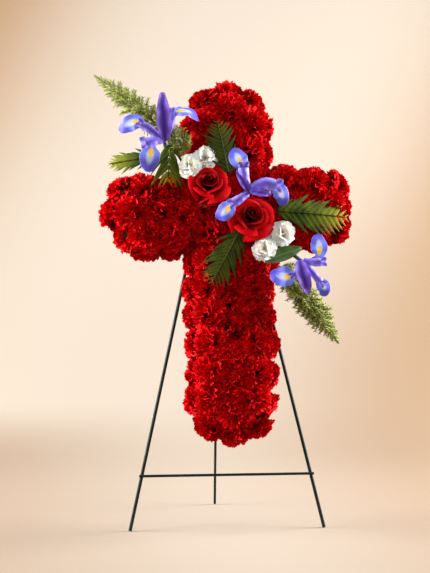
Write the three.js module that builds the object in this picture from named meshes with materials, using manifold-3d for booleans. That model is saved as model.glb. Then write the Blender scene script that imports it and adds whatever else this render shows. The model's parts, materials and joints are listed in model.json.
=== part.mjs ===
// Floral cross: packed carnation heads on a foam cross, a diagonal spray of roses, irises, small
// carnations and fern laid over them, hung on a three-legged folding wire easel.
// Millimetres, +Z up, +X to the viewer's right, the front faces -Y.

import * as THREE from 'three';
import { mergeVertices } from 'three/addons/utils/BufferGeometryUtils.js';
import Module from 'manifold-3d';

const wasm = await Module();
wasm.setup();

// Clearance between pieces that touch
const gap = 0.3;

// Wire easel
const footSpacing = 360;
const leanDegrees = 11;
const legWire = 6;
const legLength = 742;
const legTopSpacing = 24;
const barWire = 5;
const crossbarHeight = 100;
const crossbarOverhang = 5;
const rearWire = 5;
const rearReach = 231;
const pivotBelowTop = 27;
const stopAbovePivot = 20;
const barEndOverhang = 5;
const eyeSlack = 0.6;
const rearTail = 29;
const eyeNeck = 8;
const eyeTurns = 10;
const hookWire = 3;
const hookDrop = 9;

// Foam cross
const foamHeight = 610;
const foamSpan = 406;
const foamWidth = 104;
const foamDepth = 45;
const foamBottom = 191;
const armHeight = 591;
const crossOffset = 10;

// Carnation heads
const headRadius = 33;
const headSeat = 12;
const endSeat = 8;
const headPitch = 50;
const endSpacing = 45;
const cornerSeat = 12;
const endInset = 20;
const shoulderInset = 9;
const shoulderSeat = 10;
const shoulderTilt = 28;
const flankHeight = 22;
const flankTilt = 80;
const armFlankSeat = 6;
const armDrift = 8;
const headSides = 5;
const endHeight = 31;
const headPleat = 0.08;
const headProfile = [[0, -0.32], [1, -0.16], [0.86, 0.46], [0, 0.76]];
const outerEndSeat = 1.6;
const cornerTurn = 0.6;
const endRise = 0.3;
const cornerRise = 0.8;
const scatter = 2.5;
const radiusScatter = 1.4;

// Roses, small carnations and irises
const roseSize = 84;
const smallHeadRadius = 21;
const petalThickness = 3;
const fallHalfWidth = 16;
const neckHalfWidth = 6;
const standardHalfWidth = 11;
const styleHalfWidth = 8;
const fallRise = 10;
const fallDroop = 12;
const stemWire = 6;
const hubRadius = 9;

// Fern, foxtail and the broad leaf
const rachisHalfWidth = 1.8;
const pinnaHalfWidth = 5;
const pinnaLean = 0.55;
const pinnaDroop = 0.12;
const leafThickness = 2.4;
const plumeRadius = 18;
const plumeTiers = 6;
const plumeNotch = 0.76;
const plumeDepth = 0.8;
const plumeStalk = 1.5;
const broadLeafHalfWidth = 13;

// The spray, as offsets right and up from the crossing and heights above the heads
const roses = [
  { name: 'rose_lower', right: 32, up: -26, lift: 16, aim: [0.05, -0.12] },
  { name: 'rose_upper', right: -41, up: 35, lift: 8, aim: [-0.1, 0.1] },
];
const irises = [
  {
    name: 'iris_centre', right: 20, up: 23, lift: 38, tuck: [18, 21, 6],
    falls: [[97, 81], [-3, 84], [228, 75]],
    standards: [[45, 26, 30], [165, 24, 30], [285, 26, 28]],
  },
  {
    name: 'iris_upper_left', right: -139, up: 123, lift: 20, tuck: [-118, 96, 0],
    falls: [[24, 87], [153, 74], [258, 61]],
    standards: [[82, 86, 14], [200, 34, 24], [320, 30, 24]],
  },
  {
    name: 'iris_lower_right', right: 123, up: -107, lift: 12, tuck: [96, -78, -6],
    falls: [[51, 67], [207, 63], [-48, 79]],
    standards: [[-80, 59, 12], [110, 28, 22], [0, 26, 24]],
  },
];
const smallHeads = [
  { name: 'small_carnation_far_left', right: -82, up: 72, lift: 2, aim: [-0.3, 0.1] },
  { name: 'small_carnation_left', right: -47, up: 92, lift: -2, aim: [0, 0.35] },
  { name: 'small_carnation_right', right: 93, up: -52, lift: 4, aim: [0.15, 0] },
  { name: 'small_carnation_low', right: 60, up: -82, lift: 6, aim: [0, -0.1] },
];
const fronds = [
  { name: 'fern_upper', base: [-6, 62, 8], tip: [-24, 157, 4], bow: 6, pairs: 7, reach: 34 },
  { name: 'fern_right', base: [86, -12, 14], tip: [213, -20, -8], bow: 10, pairs: 8, reach: 40 },
  { name: 'fern_lower', base: [6, -52, 12], tip: [-42, -142, 3], bow: 6, pairs: 7, reach: 34 },
  { name: 'fern_left', base: [-136, 92, 6], tip: [-223, 83, -20], bow: 8, pairs: 6, reach: 24 },
  { name: 'fern_drooping', base: [-94, 104, 8], tip: [-147, 35, 2], bow: 8, pairs: 6, reach: 24 },
];
const foxtails = [
  { name: 'foxtail_upper_left', base: [-76, 104, 0], tip: [-252, 255, -28], bow: 10 },
  { name: 'foxtail_lower_right', base: [86, -112, -6], tip: [200, -252, -42], bow: 10 },
];
const broadLeaf = { name: 'broad_leaf', base: [58, -104, 6], tip: [128, -80, 4], bow: 8 };

// Places worked out from the sizes above
const lean = THREE.MathUtils.degToRad(leanDegrees);
const foamBack = legWire / 2 + gap;
const foamFront = foamBack + foamDepth;
const foamHalf = foamWidth / 2;
const foamTop = foamBottom + foamHeight;
const bloomFace = foamFront + headSeat + headProfile.at(-1)[1] * headRadius;
const radians = THREE.MathUtils.degToRad;

// A point of the leaning plane: right, up along the slope, out to the front
function onEasel(right, up, out) {
  return new THREE.Vector3(
    right,
    up * Math.sin(lean) - out * Math.cos(lean),
    up * Math.cos(lean) + out * Math.sin(lean),
  );
}

// A repeatable small unevenness between -1 and 1
function uneven(index, channel) {
  return Math.sin(index * 12.9 + channel * 4.1);
}

// Closed skin through equal rings of points, closed at both ends by a fan
function loft(rings, firstCentre, lastCentre) {
  const sides = rings[0].length;
  const points = [firstCentre, ...rings.flat(), lastCentre];
  const last = points.length - 1;
  const at = (ring, side) => 1 + ring * sides + (side % sides);
  const faces = [];
  for (let side = 0; side < sides; side += 1) {
    faces.push(0, at(0, side + 1), at(0, side));
    for (let ring = 0; ring < rings.length - 1; ring += 1) {
      faces.push(at(ring, side), at(ring, side + 1), at(ring + 1, side));
      faces.push(at(ring, side + 1), at(ring + 1, side + 1), at(ring + 1, side));
    }
    faces.push(last, at(rings.length - 1, side), at(rings.length - 1, side + 1));
  }
  const geometry = new THREE.BufferGeometry().setFromPoints(points);
  geometry.setIndex(faces);
  return facingOut(geometry);
}

// Turns a closed skin so that its faces point out
function facingOut(geometry) {
  const place = geometry.getAttribute('position');
  const faces = geometry.index.array;
  const corner = [0, 1, 2].map(() => new THREE.Vector3());
  let volume = 0;
  for (let i = 0; i < faces.length; i += 3) {
    corner.forEach((point, k) => point.fromBufferAttribute(place, faces[i + k]));
    volume += corner[0].dot(corner[1].clone().cross(corner[2]));
  }
  if (volume < 0) {
    for (let i = 0; i < faces.length; i += 3) {
      [faces[i + 1], faces[i + 2]] = [faces[i + 2], faces[i + 1]];
    }
  }
  return geometry;
}

// Welds the seams of a skin, which is done before it is turned and moved
function welded(geometry) {
  const bare = geometry.clone();
  ['normal', 'uv'].forEach((name) => bare.deleteAttribute(name));
  return mergeVertices(bare, 1e-3);
}

// Solids for joining and cutting
function solidOf(geometry) {
  const merged = welded(geometry);
  const faces = [];
  for (let i = 0; i < merged.index.count; i += 3) {
    const [a, b, c] = [0, 1, 2].map((k) => merged.index.getX(i + k));
    if (a !== b && b !== c && c !== a) faces.push(a, b, c);
  }
  merged.setIndex(faces);
  facingOut(merged);
  const solid = new wasm.Manifold(new wasm.Mesh({
    numProp: 3,
    vertProperties: new Float32Array(merged.getAttribute('position').array),
    triVerts: new Uint32Array(merged.index.array),
  }));
  if (solid.isEmpty()) throw new Error('a skin is not closed');
  return solid;
}

function joined(geometries) {
  return geometries.map(solidOf).reduce((sum, solid) => sum.add(solid));
}

function largestOf(solid) {
  const bodies = solid.decompose();
  return bodies.reduce((best, body) => (body.volume() > best.volume() ? body : best));
}

function geometryOf(solid) {
  const mesh = solid.getMesh();
  const geometry = new THREE.BufferGeometry();
  const points = [];
  for (let i = 0; i < mesh.vertProperties.length; i += mesh.numProp) {
    points.push(...mesh.vertProperties.slice(i, i + 3));
  }
  geometry.setAttribute('position', new THREE.Float32BufferAttribute(points, 3));
  geometry.setIndex(Array.from(mesh.triVerts));
  return geometry;
}

// Round wire along a bent line, each bend mitred, its foot cut level with the floor when asked
function wire(path, diameter, levelFoot = false, sides = 8) {
  const rings = path.map((point, i) => {
    const before = point.clone().sub(path[Math.max(i - 1, 0)]).normalize();
    const after = path[Math.min(i + 1, path.length - 1)].clone().sub(point).normalize();
    const along = i === 0 ? after.clone() : before.clone();
    const mitre = levelFoot && i === 0 ? new THREE.Vector3(0, 0, 1) : before.clone().add(after).normalize();
    return { point, along, mitre };
  });
  const first = rings[0].along;
  let side = new THREE.Vector3(1, 0, 0);
  if (Math.abs(first.x) > 0.9) side.set(0, 0, 1);
  side.addScaledVector(first, -side.dot(first)).normalize();
  const skins = rings.map(({ point, along, mitre }) => {
    side = side.clone().addScaledVector(along, -side.dot(along)).normalize();
    const other = along.clone().cross(side);
    return Array.from({ length: sides }, (_, k) => {
      const angle = (k / sides) * Math.PI * 2;
      const spoke = side.clone().multiplyScalar(Math.cos(angle)).addScaledVector(other, Math.sin(angle));
      spoke.multiplyScalar(diameter / 2);
      spoke.addScaledVector(along, -spoke.dot(mitre) / along.dot(mitre));
      return spoke.add(point);
    });
  });
  return loft(skins, path[0], path[path.length - 1]);
}

// A petal or leaflet: a thin lens section carried along a curve, wide at the sides, cupped to the face
function blade({ line, face, halfWidth, thickness, steps, sides = 4, cup = 0, swell = 0 }) {
  const rings = [];
  for (let i = 0; i <= steps; i += 1) {
    const t = i / steps;
    const along = line.getTangent(t);
    const across = along.clone().cross(face).normalize();
    const outward = across.clone().cross(along);
    const centre = line.getPoint(t);
    if (i === 0) centre.addScaledVector(along, -swell);
    if (i === steps) centre.addScaledVector(along, swell);
    const wide = halfWidth(t) + 2 * swell;
    const thick = thickness / 2 + swell;
    const ring = [];
    for (let k = 0; k < sides; k += 1) {
      const angle = (k / sides) * Math.PI * 2;
      const sway = Math.cos(angle);
      const lift = Math.sin(angle) * thick + cup * wide * sway * sway;
      ring.push(centre.clone().addScaledVector(across, wide * sway).addScaledVector(outward, lift));
    }
    rings.push(ring);
  }
  const heel = line.getPoint(0).addScaledVector(line.getTangent(0), -swell);
  const tip = line.getPoint(1).addScaledVector(line.getTangent(1), swell + thickness / 2);
  return loft(rings, heel, tip);
}

// A turned flower head with an uneven, pleated rim, its axis along +Z
function pleatedHead(radius, swell = 0) {
  const reach = radius + swell;
  const points = headProfile.map(([across, along]) => new THREE.Vector2(across * reach, along * reach));
  const head = new THREE.LatheGeometry(points, headSides).rotateX(Math.PI / 2);
  const place = head.getAttribute('position');
  for (let i = 0; i < place.count; i += 1) {
    const side = Math.floor(i / points.length) % headSides;
    const pleat = 1 - headPleat * (1 + uneven(side, 6)) / 2;
    place.setXYZ(i, place.getX(i) * pleat, place.getY(i) * pleat, place.getZ(i));
  }
  return welded(head);
}

// Turns a shape made along +Z to face a direction and puts it in its place
function placed(geometry, aim, place) {
  const turn = new THREE.Quaternion().setFromUnitVectors(new THREE.Vector3(0, 0, 1), aim.clone().normalize());
  return geometry.clone().applyQuaternion(turn).translate(place.x, place.y, place.z);
}

// Front legs
function frontLegLine(side) {
  const foot = new THREE.Vector3(side * footSpacing / 2, 0, 0);
  const top = onEasel(side * legTopSpacing / 2, legLength, 0);
  return new THREE.LineCurve3(foot, top);
}

function legOffsetAt(slope) {
  return THREE.MathUtils.lerp(footSpacing, legTopSpacing, slope / legLength) / 2;
}

// Straight bar between two ends, welded in front of or behind the legs
function barAcross(halfLength, slope, out) {
  const ends = [-1, 1].map((side) => onEasel(side * halfLength, slope, out));
  return wire(ends, barWire);
}

const pivotSlope = legLength - pivotBelowTop;
const barOut = legWire / 2 + gap + barWire / 2;
const pivotCentre = onEasel(0, pivotSlope, -barOut);

// Rear leg: up from the floor, one turn round the pivot bar, and a short tail that meets the stop
const eyeRadius = (barWire + rearWire) / 2 + eyeSlack;
const rearFoot = new THREE.Vector3(0, rearReach, 0);
const toPivot = pivotCentre.clone().sub(rearFoot);
const slant = Math.atan2(-toPivot.y, toPivot.z) + Math.asin(eyeRadius / Math.hypot(toPivot.y, toPivot.z));
const rearUp = new THREE.Vector3(0, -Math.sin(slant), Math.cos(slant));
const rearBack = new THREE.Vector3(0, Math.cos(slant), Math.sin(slant));
const eyeShift = (rearWire + gap) / 2;

function eyePoint(turn) {
  return pivotCentre.clone()
    .addScaledVector(rearBack, eyeRadius * Math.cos(turn * Math.PI * 2))
    .addScaledVector(rearUp, eyeRadius * Math.sin(turn * Math.PI * 2))
    .setX(THREE.MathUtils.lerp(-eyeShift, eyeShift, turn));
}

// The rod and the eye are two solids that meet at the eye's neck
const neckPoint = eyePoint(0).addScaledVector(rearUp, -eyeNeck);

function rearRodPath() {
  return [rearFoot.clone().setX(-eyeShift), neckPoint.clone().addScaledVector(rearUp, -gap)];
}

function rearEyePath() {
  const round = Array.from({ length: eyeTurns + 1 }, (_, i) => eyePoint(i / eyeTurns));
  return [neckPoint, ...round, round.at(-1).clone().addScaledVector(rearUp, rearTail)];
}

// Stop bar between the legs, just ahead of the tail of the open rear leg
const stopCentre = pivotCentre.clone()
  .addScaledVector(rearUp, stopAbovePivot)
  .addScaledVector(rearBack, eyeRadius - (rearWire + barWire) / 2 - gap);
const stopSlope = stopCentre.y * Math.sin(lean) + stopCentre.z * Math.cos(lean);
const stopOut = -stopCentre.y * Math.cos(lean) + stopCentre.z * Math.sin(lean);

// Hanger: from the back of the foam, over the stop bar and down behind it, beside the rear leg
const hookAside = eyeShift + (rearWire + hookWire) / 2 + gap;

function hangerPath() {
  const reach = (barWire + hookWire) / 2 + gap;
  return [
    onEasel(-hookAside, stopSlope + reach, foamBack - gap),
    onEasel(-hookAside, stopSlope + reach, stopOut - reach),
    onEasel(-hookAside, stopSlope - hookDrop, stopOut - reach),
  ];
}

// Foam cross, as an outline grown by a clearance, lying in the leaning plane
function foamShape(grow) {
  const half = foamHalf + grow;
  const span = foamSpan / 2 + grow;
  const corners = [
    [-half, foamBottom - grow], [half, foamBottom - grow],
    [half, armHeight - half], [span, armHeight - half], [span, armHeight + half], [half, armHeight + half],
    [half, foamTop + grow], [-half, foamTop + grow],
    [-half, armHeight + half], [-span, armHeight + half], [-span, armHeight - half], [-half, armHeight - half],
  ];
  const outline = new THREE.Shape(corners.map(([x, y]) => new THREE.Vector2(x + crossOffset, y)));
  const depth = foamDepth + 2 * grow;
  return new THREE.ExtrudeGeometry(outline, { depth, bevelEnabled: false }).translate(0, 0, foamBack - grow);
}

// Where each carnation head sits: along a limb, over its front, its shoulders and its flanks
function limbHeads({ from, rows, step, origin, along, flankSeat, hasFlank }) {
  const across = new THREE.Vector3(along.y, -along.x, 0);
  const out = new THREE.Vector3(0, 0, 1);
  const heads = [];
  const add = (distance, aside, height, tilt) => {
    const place = origin.clone().addScaledVector(along, distance).addScaledVector(across, aside).setZ(height);
    const side = Math.sign(aside);
    const aim = out.clone().multiplyScalar(Math.cos(radians(tilt)));
    aim.addScaledVector(across, side * Math.sin(radians(tilt)));
    heads.push({ place, aim });
  };
  for (let row = 0; row < rows; row += 1) {
    const distance = from + row * step;
    add(distance, 0, foamFront + headSeat, 0);
    if (row === rows - 1) break;
    const between = distance + step / 2;
    [-1, 1].forEach((side) => {
      add(between, side * (foamHalf - shoulderInset), foamFront + shoulderSeat, shoulderTilt);
      if (hasFlank(between)) add(between, side * (foamHalf + flankSeat), foamBack + flankHeight, flankTilt);
    });
  }
  return heads;
}

// Three heads that close the end of a limb, the outer two turned to its corners
function endHeads(end, along) {
  const across = new THREE.Vector3(along.y, -along.x, 0);
  return [-1, 0, 1].map((side) => ({
    place: end.clone().addScaledVector(along, side ? outerEndSeat : endSeat)
      .addScaledVector(across, side * endSpacing).setZ(foamBack + endHeight),
    aim: along.clone().addScaledVector(across, side * cornerTurn).add(new THREE.Vector3(0, 0, endRise)),
  }));
}

// One head in each inner corner of the cross
function cornerHeads() {
  return [[-1, -1], [1, -1], [-1, 1], [1, 1]].map(([side, level]) => ({
    place: new THREE.Vector3(
      crossOffset + side * (foamHalf + cornerSeat),
      armHeight + level * (foamHalf + cornerSeat),
      foamBack + endHeight,
    ),
    aim: new THREE.Vector3(side * cornerTurn, level * cornerTurn, cornerRise),
  }));
}

function allHeads() {
  const upRow = new THREE.Vector3(0, 1, 0);
  const firstRow = foamBottom + endInset;
  const rows = 1 + Math.round((foamHeight - 2 * endInset) / headPitch);
  const step = (foamHeight - 2 * endInset) / (rows - 1);
  const clearOfArms = foamHalf + headSeat;
  const upright = limbHeads({
    from: firstRow, rows, step, along: upRow,
    origin: new THREE.Vector3(crossOffset, 0, 0),
    flankSeat: headSeat,
    hasFlank: (distance) => Math.abs(distance - armHeight) > clearOfArms,
  });
  const arms = [-1, 1].flatMap((side) => {
    const along = new THREE.Vector3(side, 0, 0);
    const reach = foamSpan / 2 - endInset;
    const armRows = Math.floor((reach - foamHalf - shoulderInset) / headPitch) + 1;
    const origin = new THREE.Vector3(crossOffset, armHeight + side * armDrift, 0);
    const inner = reach - (armRows - 1) * headPitch;
    const heads = limbHeads({
      from: inner, rows: armRows, step: headPitch, along, origin,
      flankSeat: armFlankSeat, hasFlank: () => true,
    });
    const end = origin.clone().addScaledVector(along, foamSpan / 2);
    return [...heads, ...endHeads(end, along)].map((head) => ({ ...head, arm: side }));
  });
  const middle = new THREE.Vector3(crossOffset, 0, 0);
  const ends = [
    ...endHeads(middle.clone().setY(foamBottom), new THREE.Vector3(0, -1, 0)),
    ...endHeads(middle.clone().setY(foamTop), upRow),
  ];
  return [...upright, ...ends, ...cornerHeads(), ...arms].map((head, i) => ({
    arm: head.arm ?? 0,
    aim: head.aim,
    place: head.place.clone().add(new THREE.Vector3(uneven(i, 1), uneven(i, 2), uneven(i, 3)).multiplyScalar(scatter)),
    radius: headRadius + radiusScatter * uneven(i, 4),
    spin: Math.PI * uneven(i, 5),
  }));
}

// The limb that a head belongs to
function limbOf({ arm, place }) {
  if (arm < 0) return 'carnations_left_arm';
  if (arm > 0) return 'carnations_right_arm';
  return place.y > armHeight + foamHalf ? 'carnations_top_arm' : 'carnations_shaft';
}

const headSkin = ({ radius, aim, place, spin }, swell) => (
  placed(pleatedHead(radius, swell).rotateZ(spin), aim, place)
);

// Places in the spray, measured from the crossing and from the faces of the heads
function sprayPoint([right, up, lift]) {
  return new THREE.Vector3(crossOffset + right, armHeight + up, bloomFace + lift);
}

// Rose: a turned body in tiers, the edge of each tier lobed by its petals
function roseSkins(rose, swell) {
  const centre = sprayPoint([rose.right, rose.up, rose.lift]);
  const aim = new THREE.Vector3(rose.aim[0], rose.aim[1], 1);
  const tiers = [
    { across: 0.2, along: -0.3, lobes: 5 },
    { across: 0.38, along: -0.14, lobes: 5 },
    { across: 0.5, along: 0.06, lobes: 5 },
    { across: 0.37, along: 0.05, lobes: 5 },
    { across: 0.35, along: 0.22, lobes: 4, turn: 0.4 },
    { across: 0.23, along: 0.17, lobes: 4, turn: 0.4 },
    { across: 0.19, along: 0.32, lobes: 3, turn: 0.9 },
    { across: 0.08, along: 0.26, lobes: 3, turn: 0.9 },
  ];
  const sides = 15;
  const rings = tiers.map(({ across, along, lobes, turn = 0 }) => Array.from({ length: sides }, (_, k) => {
    const angle = (k / sides) * Math.PI * 2;
    const lobe = 0.92 + 0.08 * Math.cos((angle + turn) * lobes);
    const radius = across * roseSize * lobe + swell;
    return new THREE.Vector3(radius * Math.cos(angle), radius * Math.sin(angle), along * roseSize + swell);
  }));
  const heel = new THREE.Vector3(0, 0, -0.34 * roseSize - swell);
  const eye = new THREE.Vector3(0, 0, 0.3 * roseSize + swell);
  return [placed(loft(rings, heel, eye), aim, centre)];
}

// Small carnation: one pleated head
function smallHeadSkins(head, swell) {
  const aim = new THREE.Vector3(head.aim[0], head.aim[1], 1);
  return [placed(pleatedHead(smallHeadRadius, swell), aim, sprayPoint([head.right, head.up, head.lift]))];
}

// Iris: three falls with a broad drooping end, a style arm over each, and three standards
function irisSkins(iris, swell) {
  const centre = sprayPoint([iris.right, iris.up, iris.lift]);
  const tuck = sprayPoint(iris.tuck);
  const front = new THREE.Vector3(0, 0, 1);
  const reached = (bearing, reach, height) => new THREE.Vector3(
    centre.x + reach * Math.cos(radians(bearing)),
    centre.y + reach * Math.sin(radians(bearing)),
    centre.z + height,
  );
  const hub = welded(new THREE.SphereGeometry(hubRadius + swell, 6, 3)).rotateX(Math.PI / 2);
  const root = hubRadius * 0.75;
  const skins = [placed(hub, front, centre)];
  iris.falls.forEach(([bearing, reach]) => {
    const fall = new THREE.CatmullRomCurve3([
      reached(bearing, root, -hubRadius * 0.2), reached(bearing, reach * 0.45, fallRise),
      reached(bearing, reach * 0.8, fallRise * 0.5), reached(bearing, reach, -fallDroop),
    ]);
    const fallWidth = (t) => THREE.MathUtils.lerp(neckHalfWidth, fallHalfWidth, Math.sin(Math.PI * t * 0.72) ** 4)
      * (t > 0.95 ? 0.6 : 1);
    skins.push(blade({
      line: fall, face: front, halfWidth: fallWidth, thickness: petalThickness, steps: 3, cup: -0.12, swell,
    }));
    const style = new THREE.CatmullRomCurve3([
      reached(bearing, root * 0.8, hubRadius * 0.6), reached(bearing, reach * 0.3, fallRise + petalThickness * 2),
      reached(bearing, reach * 0.55, fallRise + petalThickness * 3),
    ]);
    const styleWidth = (t) => styleHalfWidth * (0.7 + 0.5 * t);
    skins.push(blade({
      line: style, face: front, halfWidth: styleWidth, thickness: petalThickness, steps: 1, cup: -0.2, swell,
    }));
  });
  iris.standards.forEach(([bearing, reach, rise]) => {
    const line = new THREE.QuadraticBezierCurve3(
      reached(bearing, root, hubRadius * 0.2), reached(bearing, reach * 0.45, rise), reached(bearing, reach, rise),
    );
    const halfWidth = (t) => standardHalfWidth * (0.4 + 0.5 * t);
    skins.push(blade({ line, face: front, halfWidth, thickness: petalThickness, steps: 1, cup: 0.2, swell }));
  });
  skins.push(wire([centre.clone().setZ(centre.z - hubRadius / 2), tuck], stemWire + 2 * swell, false, 4));
  return skins;
}

// A bowed line from a base to a tip
function bowedLine(base, tip, bow) {
  const start = sprayPoint(base);
  const end = sprayPoint(tip);
  const middle = start.clone().lerp(end, 0.5).add(new THREE.Vector3(0, 0, bow));
  return new THREE.QuadraticBezierCurve3(start, middle, end);
}

// Fern frond: one thin sheet whose outline is a stalk with leaflets in pairs, shorter to the tip
function frondSkins(frond, swell) {
  const line = bowedLine(frond.base, frond.tip, frond.bow);
  const length = line.getLength();
  const stalk = rachisHalfWidth + swell;
  const half = pinnaHalfWidth + swell;
  const edge = [];
  for (let pair = 0; pair < frond.pairs; pair += 1) {
    const t = (pair + 0.7) / (frond.pairs + 0.3);
    const reach = frond.reach * Math.sin(Math.PI * (0.22 + 0.72 * t)) ** 0.8 + swell;
    const root = t * length;
    edge.push([root - half, stalk], [root + pinnaLean * reach, reach], [root + half * 0.8, stalk]);
  }
  const far = edge.slice().reverse().map(([x, y]) => [x, -y]);
  const outline = [[-swell, -stalk], [-swell, stalk], ...edge, [length + swell, 0], ...far];
  const shape = new THREE.Shape(outline.map(([x, y]) => new THREE.Vector2(x, y)));
  const sheet = new THREE.ExtrudeGeometry(shape, { depth: leafThickness + 2 * swell, bevelEnabled: false, steps: 1 });
  const front = new THREE.Vector3(0, 0, 1);
  const place = sheet.getAttribute('position');
  for (let i = 0; i < place.count; i += 1) {
    const t = THREE.MathUtils.clamp(place.getX(i) / length, 0, 1);
    const along = line.getTangent(t);
    const across = along.clone().cross(front).normalize();
    const outward = across.clone().cross(along);
    const aside = place.getY(i);
    const point = line.getPoint(t).addScaledVector(along, place.getX(i) - t * length)
      .addScaledVector(across, aside)
      .addScaledVector(outward, place.getZ(i) - leafThickness / 2 - swell - Math.abs(aside) * pinnaDroop);
    place.setXYZ(i, point.x, point.y, point.z);
  }
  return [sheet];
}

// Foxtail: a bottle-brush plume in tiers, widest near its middle
function foxtailSkins(foxtail, swell) {
  const line = bowedLine(foxtail.base, foxtail.tip, foxtail.bow);
  const sides = 6;
  const rings = [];
  const stations = plumeTiers * 2;
  for (let i = 0; i <= stations; i += 1) {
    const t = 0.02 + 0.96 * (i / stations);
    const along = line.getTangent(t);
    const across = along.clone().cross(new THREE.Vector3(0, 0, 1)).normalize();
    const outward = across.clone().cross(along);
    const envelope = Math.sin(Math.PI * Math.min(0.16 + 0.82 * t, 1)) ** 0.7;
    const radius = plumeRadius * envelope * (i % 2 ? 1 : plumeNotch) + plumeStalk + swell;
    rings.push(Array.from({ length: sides }, (_, k) => {
      const angle = ((k + (i % 2) / 2) / sides) * Math.PI * 2;
      return line.getPoint(t).addScaledVector(across, radius * Math.cos(angle))
        .addScaledVector(outward, radius * plumeDepth * Math.sin(angle));
    }));
  }
  const heel = line.getPoint(0).addScaledVector(line.getTangent(0), -swell);
  const tip = line.getPoint(1).addScaledVector(line.getTangent(1), swell);
  return [loft(rings, heel, tip)];
}

// One broad leaf, folded a little along its middle
function broadLeafSkins(leaf, swell) {
  const line = bowedLine(leaf.base, leaf.tip, leaf.bow);
  const halfWidth = (t) => broadLeafHalfWidth * Math.sin(Math.PI * (0.12 + 0.82 * t)) + 0.6;
  return [blade({
    line, face: new THREE.Vector3(0, 0, 1), halfWidth, thickness: leafThickness, steps: 5, cup: 0.25, swell,
  })];
}

// Colours
const finish = (colour, roughness, metalness = 0) => () => new THREE.MeshStandardMaterial({
  color: colour, roughness, metalness,
});
const greenWire = finish(0x1d3a36, 0.45, 0.3);
const greyWire = finish(0x8a8d8c, 0.4, 0.8);
const foamGreen = finish(0x3f6b45, 0.95);
const carnationRed = finish(0xb80a12, 0.75);
const roseRed = finish(0x8c0410, 0.6);
const creamWhite = finish(0xf3efe0, 0.7);
const irisBlue = finish(0x4a46b8, 0.6);
const fernGreen = finish(0x3f6a2a, 0.6);
const foxtailGreen = finish(0x7d9a45, 0.7);
const leafGreen = finish(0x4f7a35, 0.5);

const model = new THREE.Group();
const leaning = new THREE.Group();
leaning.rotation.x = Math.PI / 2 - lean;
model.add(leaning);

function addMesh(parent, name, geometry, material) {
  const mesh = new THREE.Mesh(geometry, material());
  mesh.name = name;
  parent.add(mesh);
  return mesh;
}

// Easel
[['easel_left_leg', -1], ['easel_right_leg', 1]].forEach(([name, side]) => {
  const leg = frontLegLine(side);
  addMesh(model, name, wire([leg.v1, leg.v2], legWire, true), greenWire);
});
const crossbarHalf = legOffsetAt(crossbarHeight) + crossbarOverhang;
addMesh(model, 'easel_crossbar', barAcross(crossbarHalf, crossbarHeight, barOut), greenWire);
const pivotHalf = legOffsetAt(pivotSlope) + barEndOverhang;
addMesh(model, 'easel_pivot_bar', barAcross(pivotHalf, pivotSlope, -barOut), greenWire);
const stopHalf = legOffsetAt(stopSlope + barWire / 2) - legWire / 2 - 2 * gap;
addMesh(model, 'easel_stop_bar', barAcross(stopHalf, stopSlope, stopOut), greenWire);
addMesh(model, 'easel_rear_leg', wire(rearRodPath(), rearWire, true), greenWire);
addMesh(model, 'easel_rear_leg_eye', wire(rearEyePath(), rearWire), greenWire);
addMesh(model, 'hanger_hook', wire(hangerPath(), hookWire), greyWire);

// Foam cross
addMesh(leaning, 'foam_cross', foamShape(0), foamGreen);

// Carnation heads, limb by limb, each kept clear of the foam, of the legs and of the limbs before
const heads = allHeads();
const foamRoom = solidOf(foamShape(gap));
const roomSize = 2 * foamHeight;
const behind = solidOf(new THREE.BoxGeometry(roomSize, 2 * roomSize, roomSize)
  .translate(0, armHeight, foamBack - roomSize / 2));
const limbs = ['carnations_shaft', 'carnations_top_arm', 'carnations_left_arm', 'carnations_right_arm'];
let taken = foamRoom.add(behind);
limbs.forEach((limb) => {
  const own = heads.filter((head) => limbOf(head) === limb);
  const solid = largestOf(joined(own.map((head) => headSkin(head, 0))).subtract(taken));
  taken = taken.add(joined(own.map((head) => headSkin(head, gap))));
  addMesh(leaning, limb, geometryOf(solid), carnationRed);
});

// The spray, each flower and frond kept clear of what was laid before it
const spray = [
  ...roses.map((piece) => [piece, roseSkins, roseRed]),
  ...irises.map((piece) => [piece, irisSkins, irisBlue]),
  ...smallHeads.map((piece) => [piece, smallHeadSkins, creamWhite]),
  [broadLeaf, broadLeafSkins, leafGreen],
  ...fronds.map((piece) => [piece, frondSkins, fernGreen]),
  ...foxtails.map((piece) => [piece, foxtailSkins, foxtailGreen]),
];
spray.forEach(([piece, skinsOf, material]) => {
  const solid = largestOf(joined(skinsOf(piece, 0)).subtract(taken));
  taken = taken.add(joined(skinsOf(piece, gap)));
  addMesh(leaning, piece.name, geometryOf(solid), material);
});

// The origin is on the floor, under the middle of the whole
model.updateMatrixWorld(true);
const box = new THREE.Box3().setFromObject(model, true);
model.position.set(-(box.min.x + box.max.x) / 2, -(box.min.y + box.max.y) / 2, -box.min.z);
model.updateMatrixWorld(true);

export default model;
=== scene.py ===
import json
import math
import random

import bpy
import numpy as np
from mathutils import Matrix, Vector

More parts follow.
